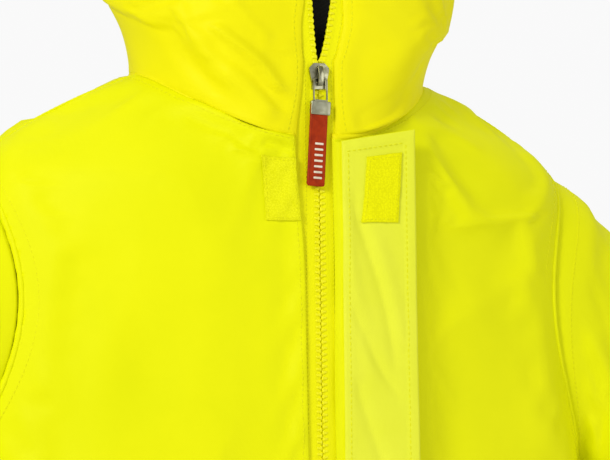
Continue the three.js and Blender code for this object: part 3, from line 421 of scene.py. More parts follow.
def stitches(name, lines, body, material, length=0.0027, pitch=0.0037, radius=0.00028):
    """Rows of lockstitches. Each line is (points, normals); every stitch is a short thread with its ends
    sunk in."""
    rings = np.array([[-0.5, 0.35], [-0.32, 0.9], [0, 1.0], [0.32, 0.9], [0.5, 0.35]])
    sink = np.array([-0.9, 0.1, 0.35, 0.1, -0.9])
    around = np.linspace(0, 2 * math.pi, 6, endpoint=False)
    points, faces = [], []
    base_faces = grid_faces(len(rings), len(around), wraps=True)
    caps = np.array([[5, 4, 3, 2], [5, 2, 1, 0], [24, 25, 26, 27], [24, 27, 28, 29]])
    local_faces = np.concatenate([base_faces, caps])
    for path, normals in lines:
        run = np.concatenate([[0], np.cumsum(np.linalg.norm(np.diff(path, axis=0), axis=1))])
        at = np.arange(pitch / 2, run[-1] - pitch / 4, pitch)
        centre = np.stack([np.interp(at, run, path[:, k]) for k in range(3)], -1)
        normal = unit(np.stack([np.interp(at, run, normals[:, k]) for k in range(3)], -1))
        ahead = np.stack([np.interp(at + pitch * 0.3, run, path[:, k]) for k in range(3)], -1)
        along = unit(ahead - np.stack([np.interp(at - pitch * 0.3, run, path[:, k]) for k in range(3)], -1))
        side = unit(np.cross(along, normal))
        for c, n, t, s in zip(centre, normal, along, side):
            circle = np.cos(around)[:, None] * s + np.sin(around)[:, None] * n
            ring = (
                c
                + t * (rings[:, :1] * length)[:, None]
                + n * (sink * radius)[:, None, None]
                + (rings[:, 1] * radius)[:, None, None] * circle
            )
            faces.append(local_faces + 30 * len(points))
            points.append(ring.reshape(-1, 3))
    return link(name, np.concatenate(points), np.concatenate(faces), material, body)


# ---------- materials ----------
def linear(red, green, blue):
    """A colour as the eye reads it, 0 to 255, as the renderer's light."""
    light = [((c / 255 + 0.055) / 1.055) ** 2.4 if c > 10 else c / 255 / 12.92 for c in (red, green, blue)]
    return (*light, 1.0)


class Nodes:
    """Short ways to add nodes to a material or a group."""

    def __init__(self, tree):
        self.tree = tree

    def add(self, kind, settings=None, **inputs):
        node = self.tree.nodes.new(kind)
        for key, value in (settings or {}).items():
            setattr(node, key, value)
        for key, value in inputs.items():
            numbered = key[0] == "_" and key[1:].isdigit()
            socket = node.inputs[int(key[1:]) if numbered else key.replace("_", " ")]
            self.put(socket, value)
        return node

    def put(self, socket, value):
        if isinstance(value, bpy.types.NodeSocket):
            self.tree.links.new(value, socket)
        else:
            socket.default_value = value

    def math(self, operation, a, b=0.0):
        return self.add("ShaderNodeMath", {"operation": operation}, _0=a, _1=b).outputs[0]

    def ramp(self, value, low, high, start=0.0, end=1.0):
        node = self.add("ShaderNodeMapRange", {"interpolation_type": "SMOOTHSTEP"}, Value=value)
        for socket, number in zip(node.inputs[1:5], (low, high, start, end)):
            socket.default_value = number
        return node.outputs[0]

    def blend(self, factor, a, b, kind="MIX"):
        node = self.add("ShaderNodeMix", {"data_type": "RGBA", "blend_type": kind})
        self.put(node.inputs[0], factor)
        self.put(node.inputs[6], a)
        self.put(node.inputs[7], b)
        return node.outputs[2]


def new_group(name, inputs, outputs):
    group = bpy.data.node_groups.new(name, "ShaderNodeTree")
    for label, kind, value in inputs:
        socket = group.interface.new_socket(label, in_out="INPUT", socket_type=kind)
        socket.default_value = value
    for label, kind in outputs:
        group.interface.new_socket(label, in_out="OUTPUT", socket_type=kind)
    n = Nodes(group)
    return group, n, n.add("NodeGroupInput").outputs, n.add("NodeGroupOutput").inputs


def make_weave_group():
    """Plain-woven threads and the slight unevenness of the cloth between them."""
    group, n, given, out = new_group(
        "woven cloth",
        [("Thread", "NodeSocketFloat", 0.0006), ("Slub", "NodeSocketFloat", 0.3)],
        [("Height", "NodeSocketFloat"), ("Shade", "NodeSocketFloat"), ("Pucker", "NodeSocketFloat")],
    )
    place = n.add("ShaderNodeTexCoord").outputs["Object"]
    bent = n.add("ShaderNodeTexNoise", Vector=place, Scale=60.0, Detail=2.0).outputs["Color"]
    drift = n.add("ShaderNodeVectorMath", {"operation": "SCALE"}, _0=bent, Scale=0.0012).outputs[0]
    soft = n.add("ShaderNodeVectorMath", {"operation": "ADD"}, _0=place, _1=drift).outputs[0]
    axes = n.add("ShaderNodeSeparateXYZ", Vector=soft).outputs
    level = n.math("ADD", axes[0], axes[1])
    turns = n.math("DIVIDE", math.pi, given["Thread"])
    warp = n.math("SINE", n.math("MULTIPLY", level, turns))
    weft = n.math("SINE", n.math("MULTIPLY", axes[2], turns))
    crossing = n.math("MULTIPLY", warp, weft)
    threads = n.math("ADD", n.math("ABSOLUTE", warp), n.math("ABSOLUTE", weft))
    slub = n.add("ShaderNodeTexNoise", Vector=place, Scale=900.0, Detail=2.0).outputs[0]
    n.put(out["Height"],
          n.math("ADD", n.math("ADD", n.math("MULTIPLY", crossing, 0.3), n.math("MULTIPLY", threads, 0.25)),
                               n.math("MULTIPLY", slub, given["Slub"])))
    cloudy = n.add("ShaderNodeTexNoise", Vector=place, Scale=9.0, Detail=4.0, Roughness=0.6).outputs[0]
    n.put(out["Shade"], n.ramp(cloudy, 0.3, 0.7))
    n.put(out["Pucker"], n.add("ShaderNodeTexNoise", Vector=place, Scale=70.0, Detail=3.0,
                               Distortion=0.6).outputs[0])
    return group


def make_pile_group():
    """The tiny tufts of hook and loop tape, in rows, with a plain selvedge of none."""
    group, n, given, out = new_group(
        "pile",
        [("Tuft", "NodeSocketFloat", 0.0011)],
        [("Height", "NodeSocketFloat"), ("Shade", "NodeSocketFloat")],
    )
    place = n.add("ShaderNodeTexCoord").outputs["Object"]
    density = n.math("DIVIDE", 1.0, given["Tuft"])
    cells = n.add("ShaderNodeTexVoronoi", {"feature": "F1"}, Vector=place, Scale=density,
                  Randomness=0.75).outputs[0]
    fuzz = n.add("ShaderNodeTexNoise", Vector=place, Scale=2600.0, Detail=2.0).outputs[0]
    n.put(out["Height"], n.math("ADD", n.ramp(cells, 0.75, 0.1), n.math("MULTIPLY", fuzz, 0.5)))
    # Shade is 0 on each tuft and 1 in the gaps between tufts: painted shade in the gaps.
    n.put(out["Shade"], n.ramp(cells, 0.15, 0.8))
    return group


def make_wear_group():
    """Fine scratches and smudges on hard pieces."""
    group, n, given, out = new_group(
        "wear",
        [("Fineness", "NodeSocketFloat", 400.0)],
        [("Scratch", "NodeSocketFloat"), ("Smudge", "NodeSocketFloat")],
    )
    place = n.add("ShaderNodeTexCoord").outputs["Object"]
    drawn = n.add("ShaderNodeMapping", {"vector_type": "POINT"}, Vector=place,
                  Scale=(1.0, 1.0, 0.12)).outputs[0]
    scratch = n.add("ShaderNodeTexNoise", Vector=drawn, Scale=given["Fineness"], Detail=3.0).outputs[0]
    n.put(out["Scratch"], n.ramp(scratch, 0.4, 0.65))
    smudge = n.add("ShaderNodeTexNoise", Vector=place, Scale=160.0, Detail=4.0, Distortion=0.8).outputs[0]
    n.put(out["Smudge"], n.ramp(smudge, 0.35, 0.7))
    return group


WEAVE, PILE_TUFTS, WEAR = make_weave_group(), make_pile_group(), make_wear_group()


def new_material(name, **shader):
    material = bpy.data.materials.new(name)
    material.use_nodes = True
    n = Nodes(material.node_tree)
    principled = material.node_tree.nodes["Principled BSDF"]
    for key, value in shader.items():
        principled.inputs[key.replace("_", " ")].default_value = value
    return material, n, principled.inputs


def group_in(n, group, **values):
    return n.add("ShaderNodeGroup", {"node_tree": group}, **values).outputs


def cloth_material(name, bright, dull, thread=0.0006, depth=0.00006, slub=0.3, pucker=0.0, rough=(0.5, 0.62),
                   **shader):
    material, n, sockets = new_material(name, **shader)
    weave = group_in(n, WEAVE, Thread=thread, Slub=slub)
    n.put(sockets["Base Color"], n.blend(weave["Shade"], linear(*dull), linear(*bright)))
    n.put(sockets["Roughness"], n.ramp(weave["Height"], 0.1, 0.8, rough[1], rough[0]))
    bump_node = n.add("ShaderNodeBump", Height=weave["Height"], Strength=0.6, Distance=depth)
    normal = bump_node.outputs[0]
    if pucker:
        normal = n.add("ShaderNodeBump", Height=weave["Pucker"], Strength=0.5, Distance=pucker,
                       Normal=normal).outputs[0]
    n.put(sockets["Normal"], normal)
    return material


def pile_material(name, bright, dull, tuft):
    material, n, sockets = new_material(name, Roughness=0.8, **YELLOW_WITH_PAINTED_GLOW)
    pile = group_in(n, PILE_TUFTS, Tuft=tuft)
    # Bright on the tufts and dull in the gaps between them: painted shade between the tufts.
    n.put(sockets["Base Color"], n.blend(pile["Shade"], linear(*bright), linear(*dull)))
    n.put(sockets["Normal"], n.add("ShaderNodeBump", Height=pile["Height"], Strength=0.5,
                                   Distance=0.0003).outputs[0])
    return material


def hard_material(name, bright, dull, rough=(0.3, 0.5), depth=0.00004, fineness=400.0, **shader):
    material, n, sockets = new_material(name, **shader)
    wear = group_in(n, WEAR, Fineness=fineness)
    n.put(sockets["Base Color"], n.blend(wear["Smudge"], linear(*bright), linear(*dull)))
    n.put(sockets["Roughness"], n.ramp(wear["Scratch"], 0.0, 1.0, *rough))
    n.put(sockets["Normal"], n.add("ShaderNodeBump", Height=wear["Scratch"], Strength=0.3,
                                   Distance=depth).outputs[0])
    return material


def reflective_material():
    """Silver tape of glass beads, pressed with a fine diamond grid."""
    material, n, sockets = new_material("silver retroreflective tape", Metallic=0.55, Coat_Weight=0.25,
                                        Coat_Roughness=0.3)
    axes = n.add("ShaderNodeSeparateXYZ", Vector=n.add("ShaderNodeTexCoord").outputs["Object"]).outputs
    level = n.math("ADD", axes[0], axes[1])
    turns = math.pi / 0.004
    up = n.math("SINE", n.math("MULTIPLY", n.math("ADD", level, axes[2]), turns))
    down = n.math("SINE", n.math("MULTIPLY", n.math("SUBTRACT", level, axes[2]), turns))
    ridge = n.math("MINIMUM", n.math("ABSOLUTE", up), n.math("ABSOLUTE", down))
    line = n.ramp(ridge, 0.0, 0.14)
    wear = group_in(n, WEAR, Fineness=250.0)
    colour = n.blend(wear["Smudge"], linear(203, 206, 208), linear(178, 182, 184))
    n.put(sockets["Base Color"], n.blend(line, linear(150, 153, 152), colour))
    n.put(sockets["Roughness"], n.ramp(wear["Smudge"], 0.0, 1.0, 0.32, 0.45))
    n.put(sockets["Normal"], n.add("ShaderNodeBump", Height=line, Strength=0.5, Distance=0.0001).outputs[0])
    return material


# Every yellow cloth gets a faint glow of its own: a painted glow that keeps its shaded parts bright yellow.
YELLOW_WITH_PAINTED_GLOW = {"Specular_IOR_Level": 0.09,
          "Emission_Color": linear(255, 250, 5), "Emission_Strength": 0.03}
shell_cloth = cloth_material("fluorescent shell cloth with painted glow", (236, 237, 4), (230, 233, 2), pucker=0.0002,
                             **YELLOW_WITH_PAINTED_GLOW)
# The hood is the shell's cloth, coloured a little warmer: painted warm light where the hood catches more of
# the lamps.
hood_cloth_painted_warm_light = cloth_material("fluorescent hood cloth with painted warm light", (244, 236, 8), (239, 231, 3), pucker=0.0002, **YELLOW_WITH_PAINTED_GLOW)
facing_cloth = cloth_material("paler facing cloth", (236, 240, 66), (230, 235, 54), thread=0.0008,
                              depth=0.00008, pucker=0.0002, **YELLOW_WITH_PAINTED_GLOW)
tape_cloth = cloth_material("woven zip tape", (243, 240, 6), (236, 234, 2), thread=0.0011, depth=0.00014,
                            slub=0.2, **YELLOW_WITH_PAINTED_GLOW)
thread_yarn = cloth_material("yellow thread", (240, 238, 30), (228, 228, 16), thread=0.0003, depth=0.00004,
                             **YELLOW_WITH_PAINTED_GLOW)
lining_cloth = cloth_material("dark lining cloth", (40, 40, 17), (26, 26, 12), thread=0.0009, depth=0.0001,
                              rough=(0.6, 0.75))
# The second colour of each pile is painted shade, used in the gaps between its tufts.
loop_pile = pile_material("loop tape pile", (241, 241, 26), (226, 226, 6), 0.0010)
hook_pile = pile_material("hook tape pile", (244, 243, 4), (232, 230, 1), 0.0014)
zip_plastic = hard_material("moulded zip plastic", (247, 242, 10), (240, 234, 4), rough=(0.35, 0.5),
                            Specular_IOR_Level=0.3)
steel = hard_material("worn plated metal", (184, 182, 152), (126, 124, 96), rough=(0.22, 0.42), Metallic=1.0)
clamp_metal = hard_material("brushed metal plate", (176, 176, 150), (152, 152, 124), rough=(0.34, 0.46),
                            Metallic=0.9)
rubber = hard_material("red moulded rubber", (170, 50, 3), (150, 40, 2), rough=(0.45, 0.6), depth=0.00006,
                       fineness=700.0, Specular_IOR_Level=0.14)
pale_rubber = hard_material("pale moulded rubber", (236, 226, 204), (222, 208, 182), rough=(0.45, 0.6),
                            depth=0.00004, fineness=700.0, Specular_IOR_Level=0.2)
silver_tape = reflective_material()


# ---------- the body's surface ----------
def front_line(z):
    return -NECK_FRONT + FRONT_LEAN * (z + NECK_DROP)


def below(share):
    return mix(-BODY_LENGTH, -CHEST_BELOW_NECK, share)


# Each ring of the body: height of its sides, half width, back depth, squareness, drop at the front.
BODY_ROWS = [
    (-BODY_LENGTH, HEM_HALF_WIDTH, HEM_BACK, 2.5, 0),
    (below(0.28), mix(HEM_HALF_WIDTH, CHEST_HALF_WIDTH, 0.6), WAIST_BACK + 0.004, 2.5, 0),
    (below(0.57), CHEST_HALF_WIDTH, WAIST_BACK, 2.5, 0),
    (below(0.82), CHEST_HALF_WIDTH + 0.001, CHEST_BACK + 0.001, 2.4, 0),
    (-CHEST_BELOW_NECK, CHEST_HALF_WIDTH, CHEST_BACK, 2.4, 0),
    (mix(-CHEST_BELOW_NECK, -SHOULDER_DROP, 0.48), CHEST_HALF_WIDTH - 0.004,
     mix(CHEST_BACK, NECK_BACK, 0.18), 2.3, 0.003),
    (mix(-CHEST_BELOW_NECK, -SHOULDER_DROP, 0.8), mix(CHEST_HALF_WIDTH, SHOULDER_HALF_WIDTH, 0.45),
     mix(CHEST_BACK, NECK_BACK, 0.42), 2.2, NECK_DROP * 0.2),
    (-SHOULDER_DROP, SHOULDER_HALF_WIDTH, mix(CHEST_BACK, NECK_BACK, 0.64), 2.15, NECK_DROP * 0.38),
    *[
        (-SHOULDER_DROP * k, mix(NECK_HALF_WIDTH, SHOULDER_HALF_WIDTH, wide),
         mix(NECK_BACK, CHEST_BACK, deep), square, NECK_DROP * drop)
        for k, wide, deep, square, drop in ((0.65, 0.76, 0.21, 2.1, 0.6), (0.33, 0.43, 0.09, 2.05, 0.82),
                                            (0.12, 0.165, 0.03, 2, 0.95))
    ],
    (0, NECK_HALF_WIDTH, NECK_BACK, 2, NECK_DROP),
]
NECK_ROW = len(BODY_ROWS) - 1
SIDE_SEAM_SHARE = 0.49


def half_rings(rows):
    """Points of the half rings on the wearer's left, from the middle of the front to the middle of the
    back."""
    height, half, back, square, drop = (column[:, None] for column in smooth_row(BODY_ROWS, rows).T)
    angle = np.linspace(-math.pi / 2, math.pi / 2, 241)
    c, s = np.maximum(np.cos(angle), 0), np.sin(angle)
    front = front_line(height - drop)
    x = half * c ** (2 / square)
    rounded = (front + back) / 2 + (back - front) / 2 * np.sign(s) * np.abs(s) ** (2 / square)
    y = np.where(s < 0, mix(front, rounded, ease(x, ZIP_EDGE, FLAT_HALF)), rounded)
    z = height + np.where(s < 0, -drop * s * s, drop / NECK_DROP * NECK_RISE * s * s)
    points = np.stack([x, y, z], -1)
    lengths = np.concatenate([np.zeros((len(rows), 1)),
                              np.cumsum(np.linalg.norm(np.diff(points, axis=1), axis=-1), 1)], 1)
    return points, lengths


def body_grid(rows, reach_of):
    """A grid on the body. reach_of(total) gives each row's distances round from the middle of the front,
    and signs."""
    rings, lengths = half_rings(rows)
    grid = []
    for ring, length in zip(rings, lengths):
        reach, sign = reach_of(length[-1])
        row = np.stack([np.interp(reach, length, ring[:, k]) for k in range(3)], -1)
        row[:, 0] *= sign
        grid.append(row)
    return np.array(grid)


fine_rows = np.linspace(0, NECK_ROW, 900)
front_heights = half_rings(fine_rows)[0][:, 0, 2]


def rows_at(heights):
    """The rows whose middle of the front is at these heights."""
    return np.interp(heights, front_heights, fine_rows)


SEAM_GAP = 0.0004


def edge_reach(side, z):
    """How far a front panel's folded edge is from the middle of the zip: the right one swings out at the
    neck seam."""
    if side > 0:
        return 0.0088 + 0.0004 * np.sin(np.asarray(z) * 38)
    return ZIP_EDGE - 0.0005 + 0.0066 * bump(z, -0.046, 0.052) + 0.0004 * np.sin(np.asarray(z) * 30)


# ---------- folds ----------
# Each fold's (x, z) path on the front, its height and width, how sharp its lower side is and the share of
# its
# length that tapers off at each end. Positive heights stand out and negative ones are creases.
RIGHT_FRONT_FOLDS = [
    ([(-0.084, -0.0175), (-0.060, -0.0270), (-0.048, -0.0335), (-0.016, -0.0430)], 0.0026, 0.0042, 1.4, 0.2),
    ([(-0.088, -0.0240), (-0.062, -0.0350), (-0.050, -0.0435), (-0.034, -0.0520)], -0.0027, 0.0036, 1.2,
     0.25),
    ([(-0.040, -0.0430), (-0.024, -0.0465), (-0.0145, -0.0515)], -0.0026, 0.0027, 1.2, 0.25),
    ([(-0.062, -0.0440), (-0.048, -0.0510), (-0.034, -0.0585)], 0.0022, 0.0042, 1.0, 0.3),
    ([(-0.120, -0.060), (-0.080, -0.085), (-0.052, -0.135)], 0.0016, 0.014, 0.8, 0.35),
    ([(-0.030, -0.100), (-0.034, -0.170), (-0.028, -0.260)], 0.0014, 0.010, 1.0, 0.4),
    ([(-0.070, -0.150), (-0.085, -0.240), (-0.075, -0.330)], 0.0022, 0.020, 1.0, 0.4),
    ([(-0.140, -0.090), (-0.120, -0.170), (-0.130, -0.260)], -0.0022, 0.016, 1.0, 0.4),
    ([(-0.190, -0.300), (-0.120, -0.345), (-0.060, -0.380)], 0.0025, 0.014, 1.3, 0.35),
    ([(-0.200, -0.640), (-0.120, -0.665), (-0.040, -0.655)], 0.0022, 0.016, 1.2, 0.35),
]
LEFT_FRONT_FOLDS = [
    ([(0.075, -0.026), (0.092, -0.020), (0.118, -0.026)], -0.0018, 0.0040, 1.5, 0.3),
    ([(0.080, -0.036), (0.105, -0.033), (0.135, -0.046)], 0.0016, 0.0050, 1.3, 0.3),
    ([(0.072, -0.052), (0.100, -0.058), (0.130, -0.080)], -0.0012, 0.0060, 1.3, 0.3),
    ([(0.106, -0.100), (0.120, -0.180), (0.112, -0.300)], 0.0014, 0.020, 1.0, 0.4),
    ([(0.150, -0.080), (0.145, -0.160), (0.160, -0.250)], -0.0016, 0.020, 1.0, 0.4),
    ([(0.190, -0.290), (0.130, -0.330), (0.080, -0.375)], 0.0025, 0.014, 1.3, 0.35),
    ([(0.200, -0.650), (0.130, -0.665), (0.075, -0.640)], 0.0022, 0.016, 1.2, 0.35),
]
RIGHT_HOOD_FOLDS = [
    ([(-0.074, 0.0200), (-0.056, 0.0100), (-0.042, -0.0010), (-0.030, -0.0155), (-0.019, -0.0255)], -0.0038,
     0.0042, 1.2, 0.2),
    ([(-0.076, 0.0340), (-0.0535, 0.0165), (-0.041, 0.0055), (-0.032, -0.0060), (-0.021, -0.0150)], 0.0056,
     0.0060, 2.2, 0.2),
    ([(-0.070, 0.0080), (-0.056, -0.0030), (-0.044, -0.0135), (-0.028, -0.0310)], 0.0038, 0.0072, 1.0, 0.25),
    ([(-0.102, 0.0400), (-0.084, 0.0100), (-0.072, -0.0050), (-0.058, -0.0190)], -0.0036, 0.0046, 1.2, 0.25),
    ([(-0.096, 0.0500), (-0.078, 0.0200), (-0.064, 0.0040)], 0.0034, 0.0060, 1.4, 0.25),
    ([(-0.080, 0.0850), (-0.058, 0.0480), (-0.040, 0.0280), (-0.037, 0.0100)], 0.0046, 0.0068, 1.8, 0.25),
    ([(-0.052, 0.0800), (-0.045, 0.0450), (-0.031, 0.0410), (-0.019, 0.0270)], -0.0026, 0.0056, 1.2, 0.25),
    ([(-0.034, 0.0340), (-0.027, 0.0230), (-0.024, 0.0110)], 0.0020, 0.0080, 1.0, 0.3),
    ([(-0.118, 0.0850), (-0.080, 0.0720), (-0.040, 0.0850)], 0.0020, 0.0120, 1.0, 0.4),
]
LEFT_HOOD_FOLDS = [
    ([(0.022, -0.031), (0.048, -0.022), (0.072, -0.006)], -0.0026, 0.0060, 1.3, 0.3),
    ([(0.030, -0.036), (0.056, -0.0285), (0.080, -0.010)], 0.0022, 0.0050, 1.3, 0.3),
    ([(0.060, -0.012), (0.076, 0.002), (0.088, 0.020)], -0.0018, 0.0045, 1.3, 0.35),
    ([(0.028, 0.004), (0.056, 0.012), (0.090, 0.050)], 0.0024, 0.0110, 1.0, 0.35),
    ([(0.040, 0.060), (0.070, 0.070), (0.100, 0.100)], 0.0026, 0.0130, 1.0, 0.35),
]


def folds_on(points, folds):
    total = np.zeros(points.shape[:-1])
    front = points[..., 1] < 0.01
    for path, height, width, sharp, taper in folds:
        total[front] += fold(points[front], path, height, width, sharp, taper)
    return total


def drape(points, strength=1.0, seed=1, stretch=(1, 1, 2.2)):
    """The general unevenness of hanging cloth: broad hollows, long folds and small puckers."""
    broad = waves(points, 0.085, seed, stretch)
    long_folds = 1 - np.abs(waves(points, 0.05, seed + 1, stretch))
    small = waves(points, 0.018, seed + 2, (1, 1, 1.4))
    return strength * (0.0021 * broad + 0.0020 * (long_folds - 0.4) + 0.00022 * small)


# ---------- body panels ----------
def front_rows():
    heights = np.concatenate([steps(-BODY_LENGTH, -0.30, 0.0055, 0.0012), steps(-0.30, -0.10, 0.0032)[1:],
                              steps(-0.10, -NECK_DROP, 0.0013)[1:]])
    rows = rows_at(heights)
    rows[0], rows[-1] = 0, NECK_ROW - 0.02
    return rows, heights


def front_panel(side, folds, seed):
    rows, heights = front_rows()
    each_height = iter(heights)
    across = np.concatenate([[0, 0.0014, 0.005], steps(0.0135, 0.42, 0.0105), steps(0.42, 0.994, 0.019)[1:],
                             [0.997, 1]])

    def reach(total):
        return mix(edge_reach(side, next(each_height)), total * SIDE_SEAM_SHARE - SEAM_GAP, across), side

    points = body_grid(rows, reach)
    cloth = Cloth(points, across, rows, (0, 0, -0.2))
    cloth.raised(np.full(points.shape[:2], SHELL))
    plain = cloth.points
    free = ease(across, 0.0, 0.05)[None] * (1 - ease(across, 0.97, 1.0))[None]
    hem = ease(heights, -BODY_LENGTH, -BODY_LENGTH + 0.05)[:, None]
    top = 1 - ease(heights, -0.052, -0.040)[:, None]
    lower = 1 - ease(heights, -0.24, -0.05)[:, None]
    relief = drape(plain, 1, seed) * free * (0.35 + 0.65 * hem) * top * (0.3 + 0.9 * lower)
    relief += folds_on(plain, folds) * (0.25 + 0.75 * ease(across, 0.0, 0.03))[None]
    # The folded edge rolls over; the neck seam pulls the cloth in.
    relief -= 0.0004 * (1 - ease(across, 0.0, 0.006))[None]
    relief += 0.0011 * bump(across, 0.022, 0.022)[None]
    relief -= 0.0008 * ease(heights, -0.0425, -0.040)[:, None]
    relief -= 0.0010 * (1 - ease(heights, -BODY_LENGTH, -BODY_LENGTH + 0.002))[:, None]
    relief += 0.0007 * (bump(heights, -BODY_LENGTH + 0.026, 0.006)
                        - bump(heights, -BODY_LENGTH + 0.030, 0.003))[:, None]
    under_flap = ease(np.abs(plain[..., 0]), 0.058, 0.112) if side > 0 else 1.0
    relief *= by_armhole(plain)
    relief = np.maximum(relief, -0.0034 - 0.01 * ease(across, 0.08, 0.2)[None])
    cloth.raised(np.minimum(relief, 0.0004 + 0.02 * under_flap))
    loose = free * ease(heights, -BODY_LENGTH + 0.001, -BODY_LENGTH + 0.004)[:, None] * top * under_flap
    pinned = 1 - np.minimum(by_armhole(plain), loose)
    let_hang(cloth, np.where(pinned > 0.6, 1, pinned * 0.3), extra=0.025, every=(3, 2), bending=1.5)
    return cloth


def back_panel():
    heights = np.concatenate([steps(-BODY_LENGTH, -0.16, 0.0075, 0.0012),
                              steps(-0.16, -NECK_DROP, 0.0036)[1:]])
    rows = rows_at(heights)
    rows[0], rows[-1] = 0, NECK_ROW - 0.02
    across = np.concatenate([[-1, -0.997], steps(-0.992, 0.992, 0.014), [0.997, 1]])

    def reach(total):
        beyond = total * (1 - SIDE_SEAM_SHARE) - SEAM_GAP
        return total - np.abs(across) * beyond, np.where(across < 0, -1, 1)

    points = body_grid(rows, reach)
    cloth = Cloth(points, across, rows, (0, 0, -0.2))
    cloth.raised(np.full(points.shape[:2], SHELL))
    hem = 0.3 + 0.7 * ease(heights, -BODY_LENGTH, -BODY_LENGTH + 0.05)
    free = (1 - ease(np.abs(across), 0.97, 1.0))[None] * hem[:, None]
    top = 1 - ease(heights, -0.060, -0.042)[:, None]
    relief = drape(cloth.points, 1.5, 21) * free * top
    yoke = waves(cloth.points, 0.045, 25, (2.5, 1, 1)) * 0.0011 * bump(heights, -0.16, 0.09)[:, None] * free
    relief += yoke - 0.0018 * ease(heights, -0.0435, -0.040)[:, None]
    relief -= 0.0010 * (1 - ease(heights, -BODY_LENGTH, -BODY_LENGTH + 0.002))[:, None]
    near = by_armhole(cloth.points)
    cloth.raised(relief * near)
    loose = free * ease(heights, -BODY_LENGTH + 0.001, -BODY_LENGTH + 0.004)[:, None] * top
    pinned = 1 - np.minimum(near, loose)
    let_hang(cloth, np.where(pinned > 0.6, 1, pinned * 0.3), extra=0.03, every=(2, 2), bending=1.5)
    return cloth


armhole_middle = np.array([0, 0.004, ARMHOLE_TOP - ARMHOLE_HEIGHT / 2])


def armhole_share(points):
    """Below 1 inside the armhole, as seen from the side, and above 1 outside it."""
    y = (points[..., 1] - armhole_middle[1]) / (ARMHOLE_WIDTH / 2)
    z = (points[..., 2] - armhole_middle[2]) / (ARMHOLE_HEIGHT / 2)
    return np.where(np.abs(points[..., 0]) > 0.12, np.hypot(y, z), 9.0)


def by_armhole(points):
    """0 at the armhole's seam, where nothing may bulge, and 1 a hand's width away."""
    return ease(armhole_share(points), 1.04, 1.40)


def cut_armhole(cloth):
    """Faces to keep round the armhole, with the grid's points drawn along the cloth onto its edge."""
    share = armhole_share(cloth.points)
    inside = share < 1
    whole = inside[:-1, :-1] & inside[1:, :-1] & inside[:-1, 1:] & inside[1:, 1:]
    keep = ~whole
    used = np.zeros_like(inside)
    for rows in (slice(None, -1), slice(1, None)):
        for columns in (slice(None, -1), slice(1, None)):
            used[rows, columns] |= keep
    i, j = np.nonzero(inside & used)
    spread = np.maximum(share[i, j], 0.5)[:, None]
    goal = armhole_middle[1:] + (cloth.points[i, j, 1:] - armhole_middle[1:]) / spread
    down, over = (np.gradient(cloth.points, axis=k)[i, j] for k in (0, 1))
    gap = goal - cloth.points[i, j, 1:]
    area = down[:, 1] * over[:, 2] - down[:, 2] * over[:, 1]
    area = np.where(np.abs(area) < 1e-9, 1e-9, area)
    a = np.clip((gap[:, 0] * over[:, 2] - gap[:, 1] * over[:, 1]) / area, -1.5, 1.5)
    b = np.clip((down[:, 1] * gap[:, 1] - down[:, 2] * gap[:, 0]) / area, -1.5, 1.5)
    cloth.points[i, j] += down * a[:, None] + over * b[:, None]
    cloth.points[i, j, 1:] = goal
    cloth.settle()
    return keep


# The folds of each front, and the seed of its general unevenness.
FRONT_DRAPES = {-1: (RIGHT_FRONT_FOLDS, 15), 1: (LEFT_FRONT_FOLDS, 11)}
fronts, keeps = {}, {}
for name, side in SIDES:
    cloth = front_panel(side, *FRONT_DRAPES[side])
    keeps[side] = cut_armhole(cloth)
    fronts[side] = cloth
    sew(f"front_{name}", cloth, SHELL, shell_cloth, "jacket", [f"front_panel_{name}"],
        keep=keeps[side], held="hung")
back = back_panel()
sew("back", back, SHELL, shell_cloth, "jacket", ["back_panel"], keep=cut_armhole(back), held="hung")


# ---------- lining of the body ----------
def body_lining():
    depth = -0.00685
    rows = rows_at(np.concatenate([steps(-BODY_LENGTH + 0.010, -0.10, 0.016),
                                   steps(-0.10, -NECK_DROP - 0.0003, 0.006)[1:]]))
    across = np.concatenate([steps(-1, 0, 0.014), steps(0, 1, 0.014)[1:]])

    def reach(total):
        return mix(0.0245, total, 1 - np.abs(across)), np.where(across < 0, -1, 1)

    cloth = Cloth(body_grid(rows, reach), across, rows, (0, 0, -0.2))
    cloth.raised(np.full(cloth.points.shape[:2], depth))
    heights = cloth.points[:, :1, 2]
    deep = ease(heights, -BODY_LENGTH + 0.012, -BODY_LENGTH + 0.05) * (1 - ease(heights, -0.09, -0.05))
    deep = deep * (1 - ease(np.abs(across), 0.955, 0.99))[None] * by_armhole(cloth.points)
    cloth.raised(drape(cloth.points, 0.5, 31) * deep - 0.0130 * deep)
    sew("body_lining_cloth", cloth, LINING, lining_cloth, "jacket", ["body_lining"],
        keep=cut_armhole(cloth), held="hung")


body_lining()


# ---------- hood ----------
def hood_side(wider, y, z):
    return (NECK_HALF_WIDTH + wider, y, z)


def on_front(above):
    return (ZIP_EDGE, front_line(above - NECK_DROP), above - NECK_DROP)


neck_ring, neck_length = (a[0] for a in half_rings(np.array([float(NECK_ROW)])))


def neck_at(share):
    reach = mix(ZIP_EDGE, neck_length[-1], np.asarray(share, float))
    return np.stack([np.interp(reach, neck_length, neck_ring[:, k]) for k in range(3)], -1)


CHIN = ZIP_ABOVE + 0.004
